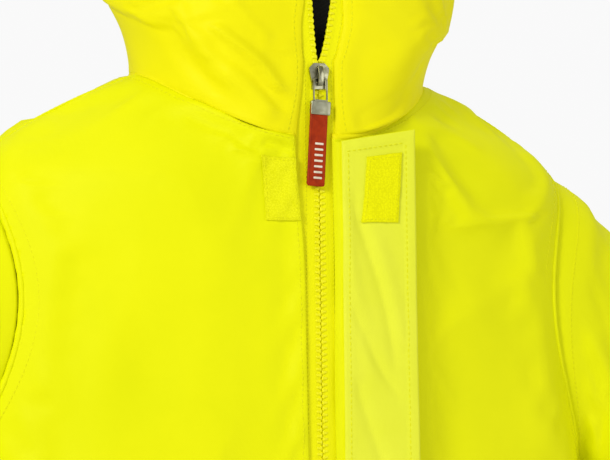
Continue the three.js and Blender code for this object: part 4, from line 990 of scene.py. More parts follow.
# Each row runs from the middle of the back to the front edge: back (y, z), side, front and edge points.
HOOD_ROWS = [
    (tuple(neck_at(1)[1:]), tuple(neck_at(0.5)), tuple(neck_at(0.25)), tuple(neck_at(0))),
    ((NECK_BACK + 0.010, 0.045), hood_side(0.007, -0.010, 0.028), hood_side(-0.029, -0.081, 0.002),
     on_front(0.29 * CHIN)),
    ((NECK_BACK + 0.025, 0.092), hood_side(0.022, -0.006, 0.062), hood_side(-0.017, -0.078, 0.036),
     on_front(0.63 * CHIN)),
    ((NECK_BACK + 0.040, 0.145), hood_side(0.031, 0.000, 0.108), hood_side(-0.010, -0.072, 0.082),
     on_front(CHIN)),
    ((NECK_BACK + 0.048, 0.200), hood_side(0.033, 0.008, 0.168), hood_side(0.009, -0.058, 0.144),
     hood_side(-0.034, -0.092, 0.112)),
    ((NECK_BACK + 0.044, 0.260), hood_side(0.029, 0.010, 0.226), hood_side(0.017, -0.045, 0.206),
     hood_side(-0.002, -0.086, 0.180)),
    ((NECK_BACK + 0.014, 0.314), hood_side(0.019, 0.000, 0.283), hood_side(0.013, -0.045, 0.262),
     hood_side(0.003, -0.084, 0.243)),
    ((0.025, 0.342), hood_side(-0.003, -0.030, 0.320), hood_side(-0.004, -0.062, 0.303),
     hood_side(-0.008, -0.088, 0.290)),
    ((-0.048, 0.343), hood_side(-0.026, -0.068, 0.326), hood_side(-0.022, -0.086, 0.316),
     hood_side(-0.024, -0.099, 0.309)),
    ((-0.112, 0.328), hood_side(-0.056, -0.110, 0.321), hood_side(-0.040, -0.107, 0.314),
     hood_side(-0.032, -0.104, 0.309)),
]
BRIM_ROW = len(HOOD_ROWS) - 1
HOOD_COLUMNS = (0, 0.27, 0.54, 0.8, 1)
HOOD_SEAM = 0.2


def parting(side, above):
    """How far a zip row has parted from its place, above the slider."""
    k = np.maximum(0, above - PART_START) / (PART_HEIGHT - PART_START)
    return ZIP_OPENING[side] * np.where(k < 1, 0.82 * k**0.65, 0.82 + 0.7 * (k - 1))


def hood_grid(q, v):
    """Points of the hood: q runs from the right front edge (-1) round the back (0) to the left one (1)."""
    reach = np.abs(q)
    at = np.interp(reach, HOOD_COLUMNS, np.arange(1, 6))
    lines = []
    for (back_y, back_z), side, front, edge in HOOD_ROWS:
        centre = np.array([0, side[1], side[2]])
        corner = centre + (np.array([0, back_y, back_z]) - centre) * math.sqrt(0.5)
        corner[0] = side[0] * math.sqrt(0.5)
        table = [corner * (-1, 1, 1), (0, back_y, back_z), corner, side, front, edge]
        lines.append(smooth_row(table, at))
    lines = np.array(lines)
    points = smooth_row(lines, v)
    shares = np.interp(reach, HOOD_COLUMNS, (1, 0.75, 0.5, 0.25, 0))
    near = np.clip(1 - v, 0, 1)[:, None, None] ** 2
    points += (neck_at(shares) - lines[0])[None] * near
    edge = ease(reach, 0.8, 0.97)[None] * (1 - ease(v, 3, 3.7))[:, None]
    points[..., 1] = mix(points[..., 1], front_line(points[..., 2]), edge)
    for side in (-1, 1):
        there = np.sign(np.where(q == 0, 1, q)) == side
        apart = parting(side, points[:, there, 2] + NECK_DROP) * ease(reach[there], 0.72, 1)[None]
        points[:, there, 0] += apart * (1 - ease(v, 3, 4))[:, None]
    points[..., 0] *= np.where(q < 0, -1, 1)[None]
    low = points[..., 2]
    swing = 0.0046 * bump(low, -0.040, 0.026) - 0.0018 * bump(low, 0.045, 0.03)
    points[..., 0] -= np.where(q < 0, swing * ease(reach, 0.8, 1)[None], 0)
    return points


HOOD_HEIGHTS = np.concatenate([steps(0.0, 3.2, 0.045), steps(3.2, 8.9, 0.075)[1:], [8.97, BRIM_ROW]])


def hood_panel(name, across, folds, seed, node):
    v = HOOD_HEIGHTS
    points = hood_grid(across, v)
    outside = (0, -0.01, 0.15)
    cloth = Cloth(points, across, v, outside)
    lift = np.full(points.shape[:2], SHELL)
    cloth.raised(lift)
    plain = cloth.points
    reach = np.abs(across)
    seam = ease(np.abs(reach - HOOD_SEAM), 0.0, 0.035)[None]
    edge = (1 - ease(reach, 0.93, 1.0))[None]
    foot = ease(v, 0.0, 0.35)[:, None]
    brim = (1 - ease(v, 8.4, BRIM_ROW))[:, None]
    relief = drape(plain, 1.3, seed, (1.3, 1.3, 1)) * seam * (0.15 + 0.85 * edge) * foot * (0.3 + 0.7 * brim)
    relief *= np.where(v > 2.2, 1, 0.35 + 0.65 * ease(v, 1.2, 2.2))[:, None]
    relief += folds_on(plain, folds) * (0.2 + 0.8 * edge)
    relief -= 0.0014 * (1 - ease(v, 0.0, 0.09))[:, None]
    relief -= 0.0013 * (1 - ease(np.abs(reach - HOOD_SEAM), 0.0, 0.012))[None]
    relief -= 0.0012 * ease(reach, 0.992, 1.0)[None] - 0.0009 * bump(reach, 0.965, 0.02)[None]
    relief -= 0.0012 * ease(v, 8.9, BRIM_ROW)[:, None]
    inward = -0.0042 + 0.0034 * ease(reach, 0.74, 0.88)[None]
    cloth.raised(np.clip(relief, inward, 0.0075))
    edge = (1 - ease(reach, 0.78, 0.92))[None]
    free = seam * edge * foot * brim * ease(v, 0.9, 2.6)[:, None]
    let_hang(cloth, np.where(free < 0.35, 1, 0.25 * (1 - free)), extra=0.03, every=(2, 2), bending=1.0)
    sew(name, cloth, SHELL, hood_cloth_painted_warm_light, "jacket", [node], held="draped")
    return cloth


side_columns = np.concatenate([[HOOD_SEAM + 0.002, 0.208], steps(0.216, 0.985, 0.0085),
                               [0.9925, 0.9975, 1.0]])
hoods = {
    -1: hood_panel("hood_right", -side_columns[::-1], RIGHT_HOOD_FOLDS, 41, "hood_panel_right"),
    1: hood_panel("hood_left", side_columns, LEFT_HOOD_FOLDS, 45, "hood_panel_left"),
    0: hood_panel("hood_middle", steps(-HOOD_SEAM, HOOD_SEAM, 0.01), [], 49, "hood_panel_middle"),
}


def hood_lining():
    across = steps(-0.93, 0.93, 0.016)
    v = np.concatenate([steps(0.2, 8.8, 0.1), [8.86, 8.9]])
    cloth = Cloth(hood_grid(across, v), across, v, (0, -0.01, 0.15))
    deep = ease(v, 0.2, 0.9)[:, None] * (1 - ease(v, 8.2, 8.8))[:, None]
    deep = deep * (1 - ease(np.abs(across), 0.84, 0.93))[None]
    cloth.raised(-0.0034 - 0.0110 * deep + 0 * cloth.points[..., 0])
    cloth.raised(drape(cloth.points, 0.5, 55) * deep)
    sew("hood_lining_cloth", cloth, LINING, lining_cloth, "jacket", ["hood_lining"], held="draped")


hood_lining()

# ---------- sleeves ----------
biceps = np.array([CHEST_HALF_WIDTH + SLEEVE_CLEAR + BICEPS_HALF, armhole_middle[1],
                   armhole_middle[2] - ARMHOLE_HEIGHT / 2 - 0.014])
arm_side, arm_down = math.sin(ARM_SPREAD), math.cos(ARM_SPREAD)
elbow = biceps + np.array([arm_side * UPPER_ARM, -0.002, -arm_down * UPPER_ARM])
bend = math.sin(ELBOW_BEND) * FOREARM
cuff = elbow + np.array([arm_side * FOREARM, -bend, -math.sqrt((arm_down * FOREARM) ** 2 - bend**2)])
arm_line = [2 * biceps - elbow, biceps, elbow, cuff, 2 * cuff - elbow]
arm_sizes = [(BICEPS_HALF, BICEPS_DEPTH)] * 2 + [(ELBOW_HALF, ELBOW_DEPTH)] + [(CUFF_HALF, CUFF_DEPTH)] * 2
ARM_LENGTH = np.linalg.norm(elbow - biceps) + np.linalg.norm(cuff - elbow)


def body_side_x(y, z):
    """How far out the body's side is at points seen from the side."""
    rows = np.linspace(1, NECK_ROW, 160)
    rings, _ = half_rings(rows)
    xs = np.array([np.interp(y, ring[:, 1], ring[:, 0]) for ring in rings])
    zs = np.array([np.interp(y, ring[:, 1], ring[:, 2]) for ring in rings])
    return np.array([np.interp(z[i], zs[:, i], xs[:, i]) for i in range(len(y))])


def sleeve_grid(phi, w):
    """Points of the wearer's left sleeve: phi goes round it and w from the armhole (0) to the cuff (1)."""
    inset = 0.0028
    y = armhole_middle[1] + (ARMHOLE_WIDTH / 2 - inset) * np.cos(phi)
    z = armhole_middle[2] + (ARMHOLE_HEIGHT / 2 - inset) * np.sin(phi)
    start = np.stack([body_side_x(y, z), y, z], -1)

    def ring(k):
        centre = smooth_row(arm_line, 1 + 2 * k)
        along = unit(smooth_row(arm_line, 1 + 2 * k + 0.01) - smooth_row(arm_line, 1 + 2 * k - 0.01))
        outwards = unit(np.stack([-along[:, 2], 0 * along[:, 0], along[:, 0]], -1))
        backwards = unit(np.cross(along, outwards))
        backwards *= np.sign(backwards[:, 1:2])
        half, depth = smooth_row(arm_sizes, 1 + 2 * k).T
        points = (
            centre[:, None]
            + outwards[:, None] * (half[:, None] * np.sin(phi))[..., None]
            + backwards[:, None] * (depth[:, None] * np.cos(phi))[..., None]
        )
        return points, along

    points, _ = ring(np.clip((w - CAP_SHARE) / (1 - CAP_SHARE), 0, 1))
    (end,), (along,) = ring(np.zeros(1))
    pull = np.linalg.norm(end - start, axis=-1, keepdims=True) * 1.1
    for i in np.flatnonzero(w < CAP_SHARE):
        k = w[i] / CAP_SHARE
        a, b = 2 * k**3 - 3 * k**2 + 1, k**3 - 2 * k**2 + k
        leaving = np.array([0.9, 0, -0.44]) * pull
        points[i] = start * a + leaving * b + end * (1 - a) + along * pull * (k**3 - k**2)
    return points


ELBOW_SHARE = CAP_SHARE + (1 - CAP_SHARE) * UPPER_ARM / (UPPER_ARM + FOREARM)


def sleeve(side):
    phi = np.linspace(0, 2 * math.pi, 121)
    w = np.concatenate([[0, 0.003, 0.008], steps(0.016, 0.985, 0.0072), [0.994, 0.998, 1]])
    points = sleeve_grid(phi[:-1], np.maximum(w, 1e-4))
    points = np.concatenate([points, points[:, :1]], 1)
    points[..., 0] *= side
    cloth = Cloth(points, phi, w, points[len(w) // 2].mean(0))
    cloth.raised(np.full(points.shape[:2], SHELL))
    around, down = np.meshgrid(phi, w)
    length = down * ARM_LENGTH / (1 - CAP_SHARE)
    # The arm's inner bend gathers into short folds across the sleeve; the cap hangs in long slanting ones.
    inner = 0.5 + 0.5 * np.cos(around - math.radians(200))
    slant = length + 0.012 * np.sin(around * 2 + 1.0) + 0.006 * np.sin(around * 3 + length * 25)
    gather = np.sin(slant * 2 * math.pi / 0.034 + 1.3 * np.sin(around + 0.4))
    gathers = 0.0034 * gather * inner * bump(down, ELBOW_SHARE, 0.11)
    cuffs = 0.0016 * np.sin(slant * 2 * math.pi / 0.026) * bump(down, 0.88, 0.06) * (0.4 + 0.6 * inner)
    cap = 0.0024 * np.sin((around * 0.06 + length) * 2 * math.pi / 0.055 + 2) * bump(down, 0.27, 0.10)
    cap *= 0.5 + 0.5 * np.sin(around * 2)
    free = ease(down, 0.01, 0.08) * (1 - ease(down, 0.86, 0.95))
    mirrored = points * (side, 1, 1)
    loose = np.maximum(gathers + cuffs + cap, -0.0028) * free
    loose += drape(mirrored + (0.013 * side, 0, 0), 1.3, 61 + side) * free
    ring = ease(down, 0.0, 0.012)
    hem = 0.0007 * (bump(down, 0.945, 0.008) - bump(down, 0.935, 0.004)) - 0.001 * ease(down, 0.997, 1)
    relief = loose + hem - 0.0010 * (1 - ring)
    relief[:, -1] = relief[:, 0]
    cloth.raised(relief)
    held = np.where(free < 0.5, 1.0, 0.0)
    let_hang(cloth, held, extra=0.035, every=(2, 2), bending=0.6, wraps=True, limit=(0.004, 0.006))
    cloth.normals[:, 0] = cloth.normals[:, -1] = unit(cloth.normals[:, 0] + cloth.normals[:, -1])
    return cloth


def swing_with(piece):
    """Bakes the sleeve piece's place into its points."""
    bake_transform(piece)


def sew_tube(name, cloth, thickness, material, body, stands_for, rests_on=()):
    """A closed tube of cloth from a grid whose last column is its first."""
    points, normals = cloth.points[:, :-1], cloth.normals[:, :-1]
    faces = grid_faces(*points.shape[:2], wraps=True)
    if cloth.sign < 0:
        faces = faces[:, ::-1]
    outer = points.reshape(-1, 3)
    inner = (points - normals * thickness).reshape(-1, 3)
    made, faces = closed_sheet(outer, inner, faces)
    piece = link(name, made, faces, material, body, stands_for)
    if rests_on:
        declare_sheet(cloth)
    return piece


sleeves = {}
for name, side in SIDES:
    sleeves[side] = sleeve(side)
    body = f"sleeve_{name}"
    made = sew_tube(f"sleeve_cloth_{name}", sleeves[side], SHELL, shell_cloth, None,
                    [f"sleeve_{name}"], rests_on=[f"armhole_seam_{name}"])
    swing_with(made)
    phi = np.linspace(0, 2 * math.pi, 61)
    w = steps(0.03, 0.955, 0.016)
    grid = sleeve_grid(phi[:-1], w)
    grid = np.concatenate([grid, grid[:, :1]], 1) * (side, 1, 1)
    lining = Cloth(grid, phi, w, grid[len(w) // 2].mean(0))
    deep = (ease(w, 0.03, 0.11) * (1 - ease(w, 0.92, 0.96)))[:, None]
    lining.raised(-0.0050 - 0.0120 * deep + 0 * grid[..., 0])
    made = sew_tube(f"sleeve_lining_cloth_{name}", lining, LINING, lining_cloth, None,
                    [f"sleeve_lining_{name}"], rests_on=[f"armhole_seam_{name}"])
    swing_with(made)

# ---------- zip ----------
zip_top = np.array([0, -NECK_FRONT, -NECK_DROP])
lean = math.atan(FRONT_LEAN)
ZIP_UP = np.array([0, math.sin(lean), math.cos(lean)])
ZIP_OUT = np.array([0, -math.cos(lean), math.sin(lean)])
ZIP_ACROSS = np.array([1.0, 0, 0])


def on_zip(x, depth, height):
    """A point by the zip: across, out of the jacket, and up from the neck seam along the zip."""
    x, depth, height = (np.asarray(a, float)[..., None] for a in np.broadcast_arrays(x, depth, height))
    return zip_top + ZIP_ACROSS * x + ZIP_OUT * depth + ZIP_UP * height


ZIP_STITCHES = 0.0093


def zip_tape(name, side):
    """Half of the zip's tape, with a cord along its inner edge and a row of stitches."""
    height = np.concatenate([steps(-ZIP_BELOW - 0.008, PART_START, 0.006),
                             steps(PART_START, ZIP_ABOVE, 0.003)[1:]])
    across = np.concatenate([[0.0003, 0.0008, 0.0014], steps(0.0022, 0.0163, 0.0009), [0.0164]])
    h, x = np.meshgrid(height, across, indexing="ij")
    ripple = 0.00035 * np.sin(h * 95 + side) * ease(x, 0.005, 0.013)
    cord = 0.0004 * bump(x, 0.0044, 0.0007) - 0.0003 * (1 - ease(x, 0.0005, 0.0020))
    points = on_zip(side * (x + parting(side, h)), -ZIP_TAPE_DEPTH + 0.00035 + ripple + cord, h)
    cloth = Cloth(points, across, height, points.mean((0, 1)) - ZIP_OUT)
    sew(f"zip_tape_cloth_{name}", cloth, 0.0007, tape_cloth, "jacket", [f"zip_tape_{name}"])
    lines = [cloth.at(np.full(len(height), ZIP_STITCHES), height, STITCH_LIFT)]
    stitches(f"zip_stitching_{name}", lines, "jacket", thread_yarn, length=0.0022, pitch=0.0030,
             radius=0.00024)


# A tooth's outline, across the zip and along it: its foot is clamped on the tape and its head is at 0.
TOOTH_OUTLINE = [(0.0038, -0.0008), (0.0018, -0.0008), (0.0013, -0.0013), (0.0006, -0.00155),
                 (0.0001, -0.0010), (0.0, 0.0), (0.0001, 0.0010), (0.0006, 0.00155), (0.0013, 0.0013),
                 (0.0018, 0.0008), (0.0038, 0.0008)]


# Depths through a tooth from its back to its front, and how large its outline is at each.
TOOTH_LAYERS = [(-0.0013, 0.72), (-0.0010, 1.0), (0.0007, 1.0), (0.00115, 0.86), (0.0013, 0.6)]


def zip_teeth(name, side):
    """Moulded teeth, each clamped over the tape's edge with a rounded head towards the other row."""
    phase = 0 if side > 0 else TOOTH_PITCH / 2
    heights = np.arange(-ZIP_BELOW + 0.002 + phase, ZIP_ABOVE - 0.001, TOOTH_PITCH)
    outline = np.array(TOOTH_OUTLINE)
    middle = outline.mean(0)
    points, faces = [], []
    count = len(outline)
    slope = (parting(side, heights + 0.001) - parting(side, heights - 0.001)) / 0.002
    for height, shift, lean_out in zip(heights, parting(side, heights), slope):
        c, s = math.cos(math.atan(lean_out)), math.sin(math.atan(lean_out))
        block = []
        for depth, grow in TOOTH_LAYERS:
            x, z = (middle + (outline - middle) * grow).T
            block.append(on_zip(side * (shift + x * c + z * s), depth - ZIP_TAPE_DEPTH,
                                height - x * s + z * c))
        base = len(points) * count * len(TOOTH_LAYERS)
        ring_faces = grid_faces(len(TOOTH_LAYERS), count, wraps=True) + base
        points.append(np.concatenate(block))
        faces += [tuple(f) for f in ring_faces]
        faces.append(tuple(base + count * (len(TOOTH_LAYERS) - 1) + k for k in range(count)))
        faces.append(tuple(base + k for k in reversed(range(count))))
    outward = faces if side > 0 else [f[::-1] for f in faces]
    piece = new_piece(f"zip_row_{name}", np.concatenate(points).tolist(), outward, zip_plastic)
    soften = piece.modifiers.new("rounded edges", "BEVEL")
    soften.width, soften.segments, soften.limit_method = 0.00018, 1, "ANGLE"
    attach(piece, "jacket")
    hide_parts(f"zip_teeth_{name}")


for name, side in SIDES:
    zip_tape(name, side)
    zip_teeth(name, side)

# ---------- storm flap ----------
FLAP_BOTTOM = -(BODY_LENGTH - NECK_DROP) * math.hypot(1, FRONT_LEAN) + FLAP_ABOVE_HEM


def on_flap(x, depth, height):
    return on_zip(FLAP_FOLD + x, FLAP_LIFT + depth, height)


# The same wrinkles come again below each hook square: (x, z) paths from its top corner, height, width,
# sharpness.
FLAP_FOLDS = [
    ([(0.006, -0.009), (0.0095, -0.033), (0.019, -0.061), (0.030, -0.097), (0.037, -0.145)], -0.0021, 0.0046,
     1.4),
    ([(0.012, -0.044), (0.022, -0.050), (0.031, -0.078), (0.042, -0.125)], 0.0016, 0.0060, 1.0),
    ([(0.002, -0.020), (0.004, -0.050), (0.010, -0.090), (0.022, -0.150)], 0.0013, 0.0045, 1.0),
    ([(0.0055, -0.088), (0.014, -0.112), (0.022, -0.130), (0.041, -0.158)], -0.0019, 0.0042, 1.4),
    ([(0.008, -0.138), (0.016, -0.168), (0.030, -0.205)], -0.0017, 0.0045, 1.2),
]


def flap_relief(x, height):
    """The flap's slanting wrinkles below each hook square, and the slight wave of its free edge."""
    points = np.stack([x, 0 * x, height], -1)
    relief = 0.0010 * np.sin(height * 24 + 0.5) * ease(x, 0.015, FLAP_WIDTH)
    relief = relief + 0.0006 * waves(points, 0.030, 71, (1, 1, 2.5))
    for i in range(PILE_COUNT):
        top = -HOOK_TOP - i * PILE_STEP
        for path, tall, wide, sharp in FLAP_FOLDS:
            relief += fold(points, [(a, top + b) for a, b in path], tall, wide, sharp, 0.25)
    return relief


def flap_grid(across, up, depth):
    """A grid on the storm flap, whose top rises towards its free edge."""
    x, h = np.meshgrid(across, up)
    rise = ease(h, -0.06, -0.002) * (x / FLAP_WIDTH) * FLAP_RISE
    return x, h, on_flap(x, depth + flap_relief(x, h), h + rise)


def storm_flap():
    across = steps(0, FLAP_WIDTH, 0.0016, 0.0006)
    up = np.concatenate([steps(FLAP_BOTTOM, -0.25, 0.005, 0.0006)[:-2],
                         steps(-0.25, -0.002, 0.0022, 0.0006)[1:]])
    up = np.unique(np.round(up, 6))
    x, h, points = flap_grid(across, up, -0.0003)
    shell = Cloth(points, across, up, points.mean((0, 1)) - ZIP_OUT)
    edge = np.minimum.reduce([x, FLAP_WIDTH - x, -0.002 - h, h - FLAP_BOTTOM])
    shell.raised(-0.0005 * (1 - ease(edge, 0, 0.0007)))
    sew("storm_flap_cloth", shell, SHELL, shell_cloth, "storm_flap", ["storm_flap"], held="folded")
    inner = steps(0.0004, FLAP_WIDTH - 0.0004, 0.0016, 0.0006)
    rows = np.clip(up, FLAP_BOTTOM + 0.0004, -0.0025)
    rows = np.unique(np.round(rows, 6))
    x, h, points = flap_grid(inner, rows, 0.0)
    facing = Cloth(points, inner, rows, points.mean((0, 1)) - ZIP_OUT)
    edge = np.minimum.reduce([x - 0.0004, FLAP_WIDTH - 0.0004 - x, -0.0025 - h, h - FLAP_BOTTOM - 0.0004])
    # The hem is doubled: it stands up to its stitch line, and the edge rolls over.
    doubled = 0.00075 * (1 - ease(edge, 0.0068, 0.0078)) * ease(x, 0.004, 0.012)
    facing.raised(0.0009 + doubled - 0.0009 * (1 - ease(edge, 0, 0.0009))
                  - 0.0003 * bump(edge, 0.0072, 0.0006) * ease(x, 0.004, 0.012))
    sew("storm_flap_facing_cloth", facing, TRIM, facing_cloth, "storm_flap", ["storm_flap_facing"],
        held="laid")
    down = np.linspace(-0.0105, FLAP_BOTTOM + 0.0075, 300)
    over = np.linspace(0.003, FLAP_WIDTH - 0.0079, 40)
    lines = [
        facing.at(np.full(300, FLAP_WIDTH - 0.0072), down, 0.0001),
        facing.at(over, np.full(40, -0.0098), 0.0001),
        facing.at(over, np.full(40, FLAP_BOTTOM + 0.0072), 0.0001),
        facing.at(np.full(300, 0.0045), down, 0.0001),
    ]
    stitches("storm_flap_stitching", lines, "storm_flap", thread_yarn)
    return facing


flap_facing = storm_flap()


def flap_root():
    """The roll of cloth where the storm flap is folded out of the left front."""
    section = np.array([(0.0092, 0.0022), (0.0103, 0.00255), (0.0114, 0.0031), (0.0123, 0.0038),
                        (0.0130, 0.0046), (0.0133, 0.0053)])
    across = np.linspace(0, 5, 16)
    height = steps(FLAP_BOTTOM + 0.001, -0.0025, 0.004, 0.0008)
    profile = smooth_row(section, across)
    h, _ = np.meshgrid(height, across, indexing="ij")
    wave = 0.0002 * np.sin(h * 70)
    points = on_zip(profile[None, :, 0] + wave, profile[None, :, 1] + 0 * h, h)
    cloth = Cloth(points, across, height, on_zip(0.020, 0.0, -0.3))
    sew("storm_flap_fold", cloth, 0.0011, shell_cloth, "jacket")


flap_root()


def pile_patch(name, cloth, across, up, lift, thickness, material, body, node, place=lambda u, v: (u, v)):
    """A sewn-down square of hook or loop tape, with its stitching round the edge."""
    u = steps(across[0], across[1], (across[1] - across[0]) / 22, (across[1] - across[0]) * 0.018)
    v = steps(up[0], up[1], (up[1] - up[0]) / 34, (up[1] - up[0]) * 0.012)
    patch = overlay(cloth, u, v, lift + thickness, roll=thickness * 0.55, place=place)
    x, y = np.meshgrid(np.linspace(0, 1, len(u)), np.linspace(0, 1, len(v)))
    sewn = np.minimum.reduce([x * 25, (1 - x) * 25, y * 40, (1 - y) * 40])
    patch.raised(-0.0005 * bump(sewn, 1.9, 0.55) + 0.00012 * waves(patch.points, 0.0035, 81))
    sew(name, patch, thickness, material, body, [node])
    inset_u, inset_v = (across[1] - across[0]) * 0.08, (up[1] - up[0]) * 0.05
    corners = [(across[0] + inset_u, up[0] + inset_v), (across[1] - inset_u, up[0] + inset_v),
               (across[1] - inset_u, up[1] - inset_v), (across[0] + inset_u, up[1] - inset_v)]
    lines = []
    for (a, b), (c, d) in zip(corners, corners[1:] + corners[:1]):
        lines.append(patch.at(np.linspace(a, c, 12), np.linspace(b, d, 12), 0.0001))
    stitches(f"{name}_stitching", lines, body, thread_yarn, length=0.0020, pitch=0.0029,
             radius=0.00022)
    return patch


# How far the top squares lean sideways for each metre up, and how far every hook square is shifted.
HOOK_LEAN, LOOP_LEAN = 0.085, 0.076
HOOK_SHIFT = -0.0026
# The lower hook squares lean this share as much, and the lower loop squares this far.
LOWER_HOOKS_SHARE = 0.3
LOWER_LOOP_LEAN = 0.01
PILE_LIFT = 0.0001


def lean_by(slope, middle):
    """Shifts a patch's rows sideways, so that it leans as it was sewn."""
    return lambda u, v: (u + HOOK_SHIFT + slope * (v - middle), v)


for i in range(PILE_COUNT):
    top = -HOOK_TOP - i * PILE_STEP
    place = lean_by(HOOK_LEAN * (1 if i == 0 else LOWER_HOOKS_SHARE), top - PILE_LENGTH / 2)
    pile_patch(f"hook_tape_{i + 1}", flap_facing, (HOOK_START, HOOK_START + PILE_WIDTH),
               (top - PILE_LENGTH, top), PILE_LIFT, PILE, hook_pile, "storm_flap", f"flap_hook_tape_{i + 1}",
               place)


def from_middle(side):
    """Places by the distance round from the middle of the front, and the height, on a front panel."""

    def place(reach, height):
        rows = rows_at(height[:, 0])
        _, lengths = half_rings(rows)
        start = edge_reach(side, height[:, 0])
        full = lengths[:, -1] * SIDE_SEAM_SHARE - SEAM_GAP - start
        across = (reach - start[:, None]) / full[:, None]
        return across, np.repeat(rows[:, None], reach.shape[1], 1)

    return place


def beside_edge(slope, middle, outer):
    """Places across the strip of the right front from its folded edge (0) to a line outer from the zip's
    middle (1)."""
    to_cloth = from_middle(-1)

    def place(share, height):
        inner = edge_reach(-1, height) + 0.0007
        return to_cloth(mix(inner, outer + slope * (height - middle), share), height)

    return place


for i in range(PILE_COUNT):
    top = (-LOOP_TOP - i * PILE_STEP) / math.hypot(1, FRONT_LEAN) - NECK_DROP
    lean_here, clear = (LOOP_LEAN, 0.0018) if i == 0 else (LOWER_LOOP_LEAN, 0.0005)
    place = beside_edge(lean_here, top - PILE_LENGTH / 2, ZIP_EDGE + PILE_WIDTH + clear)
    pile_patch(f"loop_tape_{i + 1}", fronts[-1], (0, 1), (top - PILE_LENGTH, top), PILE_LIFT, PILE,
               loop_pile, "jacket", f"front_loop_tape_{i + 1}", place)


# ---------- seams and stitching on the shell ----------
# Rows of stitches, as rows of the body's and the hood's grids.
HEM_STITCHES = 0.40
NECK_STITCHES = NECK_ROW - 0.55
BRIM_STITCHES = 8.72
def line_on(cloth, across, up, count):
    """A line on a cloth for a row of stitches. across and up are each one value or a pair of ends."""
    a = np.linspace(*across, count) if isinstance(across, tuple) else np.full(count, across)
    b = np.linspace(*up, count) if isinstance(up, tuple) else np.full(count, up)
    return cloth.at(a, b, STITCH_LIFT)


for name, side in SIDES:
    cloth = fronts[side]
    lines = [line_on(cloth, (0.03, 0.985), NECK_STITCHES, count=300),
             line_on(cloth, (0.03, 0.985), HEM_STITCHES, count=300)]
    if side < 0:
        lines.append(line_on(cloth, 0.0125, (0.05, NECK_ROW - 0.3), count=600))
    stitches(f"front_stitching_{name}", lines, "jacket", thread_yarn)
    hood = hoods[side]
    edge = 0.9775 * side
    lines = [line_on(hood, edge, (0.12, 3.1), count=200), line_on(hood, edge, (3.1, 8.75), count=300)]
    brim = (0.21 * side, 0.97 * side)
    lines.append(line_on(hood, brim, BRIM_STITCHES, count=120))
    lines.append(line_on(hood, (HOOD_SEAM + 0.014) * side, (0.1, 8.7), count=400))
    stitches(f"hood_stitching_{name}", lines, "jacket", thread_yarn)
stitches("back_stitching", [line_on(back, (-0.99, 0.99), HEM_STITCHES, count=400),
                            line_on(back, (-0.985, 0.985), NECK_STITCHES, count=300)],
         "jacket", thread_yarn)
stitches("hood_middle_stitching", [line_on(hoods[0], (-0.19, 0.19), BRIM_STITCHES, count=80)], "jacket",
         thread_yarn)


def sleeve_stitching(name, side):
    cloth = sleeves[side]
    turn = (0.0, 2 * math.pi)
    lines = [line_on(cloth, turn, 0.020, count=240), line_on(cloth, turn, 0.928, count=240),
             line_on(cloth, turn, 0.985, count=240)]
    swing_with(stitches(f"sleeve_stitching_{name}", lines, None, thread_yarn))


def welt(name, centre, out, size, material, body, closed=False):
    """A rolled seam along a line of points: size is its half width and its half height."""
    count = len(centre)
    step = np.arange(count)
    if closed:
        along = unit(np.roll(centre, -1, 0) - np.roll(centre, 1, 0))
    else:
        along = unit(np.gradient(centre, axis=0))
    across = unit(np.cross(along, out))
    section = np.linspace(0, 2 * math.pi, 13)[:-1]
    tight = (1 + WELT_UNEVENNESS * np.sin(step * 1.9) * np.sin(step * 0.37))[:, None, None]
    sideways = (np.cos(section) * size[0])[None, :, None]
    outwards = (np.sin(section) * size[1])[None, :, None]
    points = centre[:, None] + tight * (across[:, None] * sideways + out[:, None] * outwards)
    if closed:
        faces = grid_faces(count + 1, 12, wraps=True) % (count * 12)
    else:
        faces = grid_faces(count, 12, wraps=True)
    faces = faces.tolist()
    if not closed:
        faces += [list(range(11, -1, -1)), [12 * (count - 1) + k for k in range(12)]]
    piece = new_piece(name, points.reshape(-1, 3).tolist(), faces, material)
    make_outward(piece.data)
    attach(piece, body)
    return piece


def armhole_seam(name, side):
    """The rolled seam where the sleeve is set in, with a row of stitches on the body's side of it."""
    turn = np.linspace(0, 2 * math.pi, 181)[:-1]

    def ring(grown, lift):
        y = armhole_middle[1] + (ARMHOLE_WIDTH / 2 + grown) * np.cos(turn)
        z = armhole_middle[2] + (ARMHOLE_HEIGHT / 2 + grown) * np.sin(turn)
        points = np.stack([side * body_side_x(y, z), y, z], -1)
        outwards = points - np.array([side * 0.10, 0.004, -0.169])
        along = unit(np.roll(points, -1, 0) - np.roll(points, 1, 0))
        outwards -= (outwards * along).sum(-1, keepdims=True) * along
        outwards = unit(outwards * (1, 0.35, 0.35))
        return points + outwards * lift, outwards

    centre, out = ring(-0.0006, SHELL * 0.75)
    welt(f"armhole_seam_{name}", centre, out, (0.0025, 0.0017), shell_cloth, "jacket", closed=True)
    around = np.r_[0:180, 0]
    path, out = ring(0.0062, SHELL + 0.0002)
    stitches(f"armhole_stitching_{name}", [(path[around], out[around])], "jacket", thread_yarn)


def neck_seam(name, share, size):
    """The seam between the hood and the body, rolled over where the two are joined."""
    points = []
    for side in (-1, 1):
        start = (float(edge_reach(side, -NECK_DROP)) + 0.0004) / neck_length[-1]
        reach = np.linspace(start, 1, 110) * neck_length[-1]
        half = np.stack([np.interp(reach, neck_length, neck_ring[:, k]) for k in range(3)], -1)
        half[:, 0] *= side
        points.append(half[::-1] if side > 0 else half)
    path = np.concatenate([points[0], points[1][1:]])
    outs = unit(path * (1, 1, 0) + (0, 0.01, 0))
    outs = unit(outs + (0, 0, 0.35))
    # The neck seam takes the hood's cloth with its painted warm light.
    welt(name, path + outs * share, outs, size, hood_cloth_painted_warm_light, "jacket")


for name, side in SIDES:
    sleeve_stitching(name, side)
    armhole_seam(name, side)
neck_seam("neck_seam", 0.0006, (0.0026, 0.0014))


